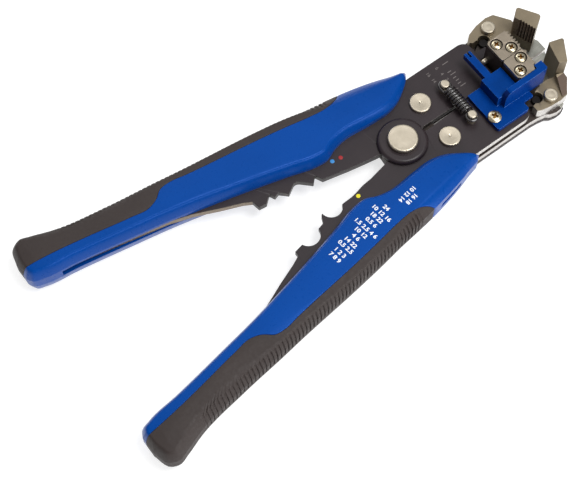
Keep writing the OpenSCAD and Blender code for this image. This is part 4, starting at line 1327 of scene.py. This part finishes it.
bm = None
for x, y, w, h in ((-16.3, 33.0, 0.28, 2.6), (-12.6, 32.0, 0.28, 1.6), (-11.2, 32.6, 0.28, 2.4), (-9.6, 32.0, 0.28, 1.4), (-8.2, 32.2, 0.28, 1.4), (-6.8, 32.0, 0.28, 1.4), (-5.4, 32.6, 0.28, 2.4)):
    bm = thin_box(bm, x, y, w, h, FRONT_TOP)
for t, x, y in (("6", -16.4, 29.2), ("4", -13.4, 29.2), ("2", -10.6, 29.2), ("1", -5.4, 29.6), ("16", -16.2, 25.0), ("14", -13.0, 25.0)):
    bm = join_bm(bm, digits(t, x, y, FRONT_TOP, 1.9, 0.0))
put(new_object("left_graduation", bm, ["mark"]), "left_half", slot="black_plate")


def dot(x, y, r=0.8, z=FRONT_TOP):
    return lathe_bm([(0, z - 0.02), (r, z - 0.02), (r, z + 0.03), (r - 0.06, z + 0.09), (r * 0.5, z + 0.12), (0, z + 0.13)], 36, (x, y))


put(new_object("dot_red", dot(-8.4, -21.5), ["red"]), "left_half", slot="black_plate")
put(new_object("dot_blue", dot(-9.0, -24.8), ["cyan"]), "left_half", slot="black_plate")
put(new_object("dot_yellow", dot(7.4, -25.8), ["yellow"]), "right_half", slot="black_plate")

# ------------------------------------------------------------------- stage
def grid_floor():
    bm = bmesh.new()
    bmesh.ops.create_grid(bm, x_segments=24, y_segments=24, size=1.6)
    me = bpy.data.meshes.new("floor")
    bm.to_mesh(me)
    bm.free()
    o = bpy.data.objects.new("floor", me)
    scene.collection.objects.link(o)
    m = Mat("floor_paper", srgb(178, 178, 178), 0.9, spec=0.1)
    f = m.noise(2.0, 3.0)
    m.color(m.mix(f, srgb(175, 175, 175), srgb(181, 181, 181)))
    m.bsdf.inputs["Emission Color"].default_value = (1.0, 1.0, 1.0, 1.0)
    m.bsdf.inputs["Emission Strength"].default_value = 0.70
    me.materials.append(m.mat)
    o.location = (0, -0.05, -0.0002)
    return o


grid_floor()

world = bpy.data.worlds.new("studio")
scene.world = world
world.use_nodes = True
wn = world.node_tree
wn.nodes.clear()
wo = wn.nodes.new("ShaderNodeOutputWorld")
bg = wn.nodes.new("ShaderNodeBackground")
bg.inputs["Color"].default_value = (1.0, 1.0, 1.0, 1.0)
bg.inputs["Strength"].default_value = 0.36
wn.links.new(bg.outputs[0], wo.inputs[0])


def softbox(name, loc, aim, size, power, color=(1, 1, 1)):
    l = bpy.data.lights.new(name, "AREA")
    l.shape, l.size, l.size_y, l.energy, l.color = "RECTANGLE", size[0], size[1], power, color
    o = bpy.data.objects.new(name, l)
    scene.collection.objects.link(o)
    o.location = loc
    o.rotation_mode = "QUATERNION"
    o.rotation_quaternion = (Vector(aim) - Vector(loc)).to_track_quat("-Z", "Y")
    return o


softbox("crest_light", (0.24, 0.17, 0.86), (0, -0.05, 0), (0.36, 0.36), 5.4)
softbox("side_right", (0.78, 0.10, 0.30), (0.01, -0.05, 0.0), (0.75, 0.30), 4.4)
softbox("sheet_above", (-0.32, 0.20, 0.86), (0, -0.05, 0), (0.60, 0.60), 1.15)
softbox("side_left", (-0.75, 0.05, 0.38), (0, -0.05, 0), (0.60, 0.30), 2.2)
